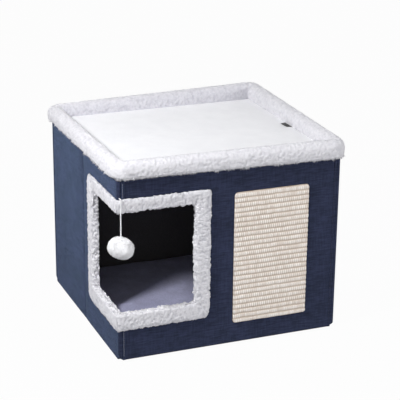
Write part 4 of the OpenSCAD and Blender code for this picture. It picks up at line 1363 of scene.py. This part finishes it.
def strip_solid(sx, sy, low, high):
    """A corner strip over one run of heights, rounded where it ends at the foot of the wall."""
    section = strip_section(LIP_RISE if (sx, sy) == NEAR_CORNER else PLAIN_RISE)
    heights = np.linspace(low, high, max(3, round((high - low) / STRIP_STEP)))
    if low == SKIN_LOW:
        turn = low + FOOT_TALL * (1 - np.cos(np.radians(np.linspace(0, 90, 12))))
        heights = np.concatenate([turn, heights[heights > turn[-1]]])
    rings = []
    for z in heights:
        ease = STRIP_EASE if z == heights[-1] or z == low > SKIN_LOW else 0.0
        spot = np.column_stack([np.full(len(section), z), section])
        sway = STRIP_SWAY * lumps(spot * (1.0, 0.3, 0.3), SWAY_SIZE, 5 + sx + 2 * sy)
        ring = section + ease * unit(STRIP_MIDDLE - section)
        if low == SKIN_LOW:
            near = 1 - np.clip(ring[:, ::-1] / WALL_T, 0, 1) ** 4
            ring = np.maximum(ring, foot_inset(z) * near)
        off = ring[:, 1] - sway * (ring[:, 1] < 0)
        rings.append(np.column_stack([sx * (X_OUT - ring[:, 0]), sy * (Y_OUT - off), np.full(len(ring), z)]))
    return np.vstack(rings), capped_faces(len(rings), len(section))


def stitch_row(sx, sy, low, high):
    """Short stitches one after the other up the strip, on its lip where it has one."""
    beside, proud = (0.0009, LIP_RISE - 0.0002) if (sx, sy) == NEAR_CORNER else (0.0036, 0.0002)
    run = np.linspace(-0.5, 0.5, 5)
    x = np.full(5, sx * (X_OUT - WALL_T - beside))
    y = sy * (Y_OUT + (proud + STITCH_RISE * (1 - (2 * run) ** 4)))
    heights = np.arange(low + STITCH_FIRST, high - STITCH_LAST, STITCH_PITCH)
    paths = [np.column_stack([x, y, z + STITCH_LENGTH * run]) for z in heights]
    return merged([tube(path, STITCH_RADIUS, STITCH_SIDES) for path in paths])


def add_strip(node, body, sx, sy):
    """A corner strip and its stitches. The near one is cut by the entrance."""
    cut = (sx, sy) == NEAR_CORNER
    spans = [(SKIN_LOW, OPEN_BOTTOM), (OPEN_TOP, WALL_TOP)] if cut else [(SKIN_LOW, WALL_TOP)]
    verts, faces = merged([strip_solid(sx, sy, low, high) for low, high in spans])
    stands_for(outward(build("strip_" + node, verts, faces, NAVY)), body, "navy_linen", node)
    verts, faces = merged([stitch_row(sx, sy, low, high) for low, high in spans])
    # painted highlight: the near strip's stitches are pale where its lip catches the light
    thread = PAINTED_HIGHLIGHT_THREAD if cut else THREAD
    stands_for(outward(build("stitch_" + node, verts, faces, thread)), body, "navy_linen")


# Scratch pad
BEAD_STEPS, ROW_STEPS = 5, 9
PAD_ROLL = 0.002
GROUND_SHARE, LOOP_SHARE = 0.68, 0.36
LOOP_TALL, LOOP_POWER, LOOP_ROUND = 0.84, 2.2, 0.6
# How far the yarn wanders along an axis, in lumps of what size and seed
PAD_WANDER = ((0, 0.0004, 0.006, 71), (2, 0.0006, 0.012, 72))


def add_pad():
    """Woven pad: level rows of upright yarn loops over a flat ground, rounded at its corners."""
    columns, rows = PAD_BEADS * BEAD_STEPS + 1, PAD_ROWS * ROW_STEPS + 1
    u = np.linspace(-1, 1, columns)[None, :]
    z = np.linspace(PAD_LO.z, PAD_HI.z, rows)[:, None]
    edge = np.minimum(z - PAD_LO.z, PAD_HI.z - z)
    cut = PAD_CORNER - np.sqrt(np.maximum(PAD_CORNER ** 2 - np.maximum(PAD_CORNER - edge, 0) ** 2, 0))
    half = (PAD_HI.x - PAD_LO.x) / 2
    x = (PAD_LO.x + PAD_HI.x) / 2 + u * (half - cut)
    z = np.broadcast_to(z, x.shape)
    pitch_x, pitch_z = 2 * half / PAD_BEADS, (PAD_HI.z - PAD_LO.z) / PAD_ROWS
    row = np.floor((z - PAD_LO.z) / pitch_z - 1e-9)
    shift = 0.5 * (row % 2) + 0.25 * (cell_numbers(np.stack([row, row, row], -1).astype(np.int64), 5) - 0.5)
    a = (x - PAD_LO.x) / pitch_x + shift
    bead = np.floor(a)
    random = cell_numbers(np.stack([bead, row, 0 * row], -1).astype(np.int64), 17)
    across = np.abs((a - bead) * 2 - 1)
    up = np.abs(((z - PAD_LO.z) / pitch_z - row) * 2 - 1)
    loop = np.sqrt(np.clip(1 - (up / LOOP_TALL) ** LOOP_POWER, 0, 1)) * (1 - LOOP_ROUND * across ** 2)
    loop *= 0.8 + 0.2 * random
    near = np.minimum(edge, (1 - np.abs(u)) * half)
    roll = np.sqrt(np.clip(1 - (1 - np.clip(near / PAD_ROLL, 0, 1)) ** 2, 0, 1))
    face, ground = PAD_HI.y, PAD_HI.y - PAD_LO.y
    out = roll * (GROUND_SHARE * ground + LOOP_SHARE * ground * loop)
    front = np.stack([x, face - out, z], axis=-1)
    for axis, far, size, seed in PAD_WANDER:
        front[..., axis] += (far * lumps(front.reshape(-1, 3), size, seed)).reshape(x.shape)
    yarn = np.clip(0.1 + loop * (0.75 + 0.25 * random), 0, 1)
    index = np.arange(rows * columns).reshape(rows, columns)
    border = np.concatenate([index[0, :-1], index[:-1, -1], index[-1, :0:-1], index[:0:-1, 0]])
    verts = front.reshape(-1, 3)
    back = verts[border].copy()
    back[:, 1] = face
    start = len(verts)
    ring = np.arange(len(border))
    faces = grid_faces(rows, columns).tolist()
    faces += np.stack([border, np.roll(border, -1), start + np.roll(ring, -1), start + ring], axis=1).tolist()
    faces.append(tuple(start + ring))
    shade = np.concatenate([yarn.reshape(-1), np.full(len(border), 0.2)])
    pad = outward(build("woven_pad", np.vstack([verts, back]), faces, SISAL, yarn=shade))
    stands_for(pad, "front_wall", "sisal", "scratch_pad")
    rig.padded(pad, fill=1.0)


# Tray
MAT_GROW, MAT_CORNER = 0.0005, 0.004
TAB_T, TAB_ROOM, TAB_STEP = 0.0008, 0.0004, 0.0006
TAB_TURN, TAB_NARROW, TAB_SLANT = 0.06, 0.12, 0.15


def level_place(height, facing=1):
    def place(flat, out):
        return np.column_stack([flat, height + facing * out])

    return place


def add_lid_lining():
    lo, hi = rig.box("lid_lining")
    loops = [rounded_rectangle((lo.x, lo.y), (hi.x, hi.y), WALL_T)]
    add_panel("lining_lid", "lid", "black_lining", BLACK, "lid_lining", "lid_board", loops,
              level_place(lo.z, -1), hi.z - lo.z, step=0.012, soft=0.0003, wave=0.0)


def add_mat():
    """Loose plush mat with a notch where its pull tab comes up."""
    lo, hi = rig.box("tray_mat")
    lo, hi = lo - Vector((MAT_GROW, MAT_GROW, 0)), hi + Vector((MAT_GROW, MAT_GROW, 0))
    tab_lo, tab_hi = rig.box("pull_tab")
    deep = TAB_T + MAT_GROW + TAB_ROOM
    near, far = tab_lo.y - TAB_ROOM, tab_hi.y + TAB_ROOM
    loop = rounded_rectangle((lo.x, lo.y), (hi.x, hi.y), MAT_CORNER)
    first = len(loop) // 4
    notch = [(hi.x, near), (hi.x - deep, near), (hi.x - deep, far), (hi.x, far)]
    loops = [np.vstack([loop[:first], notch, loop[first:]])]
    add_panel("plush_mat", "mat", "white_mat", MAT_PLUSH, "tray_mat", "lid_board", loops, level_place(hi.z),
              hi.z - lo.z - 0.0001, held="laid", step=0.0045, wave_size=0.02, seed=81)


def add_tab():
    """Folded ribbon that comes up at the edge of the mat and lies over it, its end turned to the front."""
    lo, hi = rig.box("pull_tab")
    fold, over = hi.x - TAB_T / 2, hi.z - TAB_T / 2
    reach, wide, middle = fold - lo.x, hi.y - lo.y, (lo.y + hi.y) / 2
    rising = [(0, lo.z + 0.0002), (0, over - 0.0016), (0.0009, over - 0.0001)]
    lying = [(0.0035, over + 0.0001), (reach - 0.003, over + 0.0003), (reach, over + 0.0005)]
    path = smooth_line(rising + lying, TAB_STEP)
    ahead = unit(np.gradient(path, axis=0))
    across = np.linspace(-1, 1, 15)
    share = (path[:, 0] / reach)[:, None]
    side = (across[None] + 1) / 2
    y = middle + wide * ((1 - side) * (-0.5 + TAB_TURN * share) + side * (0.5 - TAB_NARROW * share))
    shorter = 1 - TAB_SLANT * (1 - side)
    sides = []
    for out in (0.5, -0.5):
        thin = TAB_T * out * np.sqrt(1 - 0.75 * np.abs(across) ** 8)
        x = fold - path[:, 0, None] * shorter - ahead[:, 1, None] * thin
        z = path[:, 1, None] - ahead[:, 0, None] * thin
        sides.append(np.stack([x, y, z], axis=-1))
    grid = np.concatenate([sides[0], sides[1][:, ::-1]], axis=1)
    tab = outward(build("ribbon_tab", grid.reshape(-1, 3), capped_faces(len(grid), grid.shape[1]), RIBBON))
    stands_for(tab, "mat", "tab_ribbon", "pull_tab")


# Floor cushion
CUSHION_PULL, CUSHION_SLUMP, CUSHION_SHRINK = 0.003, 0.3, 0.004
CUSHION_PRESSURE, CUSHION_SWELL, CUSHION_RISE = 4.0, 0.006, 0.004
CUSHION_VOXEL, CUSHION_FRAMES = 0.006, 20
# Height, size and seed of its lumps, and its rings from seat to crown as shares of its width and height
CUSHION_LUMPS = ((0.0006, 0.012, 91), (0.0012, 0.05, 92))
CUSHION_RINGS = ((0.92, 0.0), (0.97, 0.06), (0.992, 0.2), (1.0, 0.42), (1.0, 0.64),
                 (0.994, 0.8), (0.975, 0.91), (0.93, 0.965), (0.8, 0.985), (0.5, 1.0))


def cushion_shell():
    """Crowned cushion whose sides pull in between its corners, as rings from its seat to its crown."""
    lo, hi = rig.box("floor_cushion")
    hx, hy, tall = hi.x - CUSHION_SHRINK, hi.y - CUSHION_SHRINK, hi.z - lo.z - CUSHION_SHRINK
    t = np.linspace(-1, 1, 41)[:-1]
    ease = 1 - 0.025 * np.abs(t) ** 8
    pull = CUSHION_PULL * (1 - t * t)
    right = np.column_stack([hx * ease - pull, hy * t * ease])
    back = np.column_stack([-hx * t * ease, hy * ease - pull])
    outline = np.vstack([right, back, -right, -back])
    n = len(outline)
    corner = np.tile(np.abs(t) ** 4, 4)
    verts = []
    for scale, up in CUSHION_RINGS:
        slump = 1 - CUSHION_SLUMP * corner * max(2 * scale - 1, 0) * min(2 * up, 1)
        verts.append(np.column_stack([outline * scale, lo.z + tall * up * slump]))
    verts.append(np.array([[0, 0, lo.z + tall]]))
    faces = grid_faces(len(CUSHION_RINGS), n, False, True).tolist()
    last = (len(CUSHION_RINGS) - 1) * n
    faces += [(last + i, last + (i + 1) % n, last + n) for i in range(n)]
    faces.append(tuple(range(n))[::-1])
    return np.vstack(verts), faces


def applied(obj, kind, **settings):
    """Adds a modifier, applies it to the mesh and leaves none behind."""
    mod = obj.modifiers.new(kind.lower(), kind)
    for key, value in settings.items():
        setattr(mod, key, value)
    graph = bpy.context.evaluated_depsgraph_get()
    mesh = bpy.data.meshes.new_from_object(obj.evaluated_get(graph))
    obj.modifiers.clear()
    obj.data = mesh


def spots(mesh):
    flat = np.empty(len(mesh.vertices) * 3)
    mesh.vertices.foreach_get("co", flat)
    return flat.reshape(-1, 3)


def inflate(obj):
    """Blows the cloth shell up a little, with no point moving further than the swell."""
    before = spots(obj.data)
    mod = obj.modifiers.new("cloth", "CLOTH")
    mod.settings.quality = 5
    mod.settings.mass = 0.25
    mod.settings.use_pressure = True
    mod.settings.uniform_pressure_force = CUSHION_PRESSURE
    mod.settings.effector_weights.gravity = 0
    for number in range(1, CUSHION_FRAMES + 1):
        scene.frame_set(number)
    graph = bpy.context.evaluated_depsgraph_get()
    result = obj.evaluated_get(graph).to_mesh()
    move = spots(result) - before
    obj.evaluated_get(graph).to_mesh_clear()
    obj.modifiers.clear()
    scene.frame_set(1)
    far = np.maximum(np.linalg.norm(move, axis=1, keepdims=True), 1e-9)
    obj.data.vertices.foreach_set("co", (before + move * np.minimum(1, CUSHION_SWELL / far)).ravel())
    obj.data.update()


def add_cushion():
    lo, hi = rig.box("floor_cushion")
    verts, faces = cushion_shell()
    cushion = build("plush_cushion", verts, faces, FLOOR_PLUSH)
    applied(cushion, "REMESH", mode="VOXEL", voxel_size=CUSHION_VOXEL)
    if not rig.quick():
        inflate(cushion)
    applied(cushion, "SUBSURF", levels=1)
    points = spots(cushion.data)
    points[:, 2] += sum(tall * lumps(points, size, seed) for tall, size, seed in CUSHION_LUMPS)
    points = np.clip(points, np.array(lo), np.array(hi) + (0.0, 0.0, CUSHION_RISE))
    cushion.data.vertices.foreach_set("co", points.ravel())
    cushion.data.materials.clear()
    cushion.data.materials.append(FLOOR_PLUSH)
    cushion.data.polygons.foreach_set("use_smooth", np.ones(len(cushion.data.polygons), bool))
    cushion.data.update()
    stands_for(cushion, "base", "floor_plush", "floor_cushion")
    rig.padded(cushion, fill=0.7)


def dress_boards():
    """Materials for the CAD solids that stay: boards and the strips in the rim."""
    for node, obj in frame["nodes"].items():
        material = STRIP if "core" in node else BOARD
        if "core" in node or node.endswith("board"):
            obj.data.materials.clear()
            obj.data.materials.append(material)


def front_place(p):
    return np.stack([p[..., 0] - X_OUT, -Y_OUT - p[..., 1], p[..., 2]], axis=-1)


def side_place(p):
    return np.stack([-X_OUT - p[..., 1], p[..., 0] - Y_OUT, p[..., 2]], axis=-1)


scene.view_settings.view_transform = "Standard"
add_camera()
for lamp in LAMPS:
    add_lamp(*lamp)
add_world()
add_floor()

cord, cord_path = add_cord()
add_knot()
pompom = add_pompom()
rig.cord(cord, exit=cord_path[0], length=CORD_TOP - CORD_LOW, diameter=CORD_D, far_end="tool",
        stiffness="limp", lay="hanging", path=cord_path, with_pieces=[pompom])

add_long_wall("front", -1)
add_long_wall("back", 1)
for side, sx in (("left", -1), ("right", 1)):
    for end, sy in (("rear", 1), ("front", -1)):
        add_side_half(side + "_" + end, sx, sy)
for end, sy in (("front", -1), ("back", 1)):
    for side, sx in (("left", -1), ("right", 1)):
        add_strip(end + "_" + side + "_corner", end + "_wall", sx, sy)
add_trim("front_trim", "front_wall", REACH_FRONT, front_place, 101)
add_trim("side_trim", "left_front_half", REACH_SIDE, side_place, 202)
add_pad()
add_rim()
add_lid_lining()
add_mat()
add_tab()
add_cushion()
dress_boards()

with open("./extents.json", "w") as f:
    json.dump({"cad": [list(v) for v in CAD_BOX], "visual": [list(v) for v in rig.bounds()]}, f)
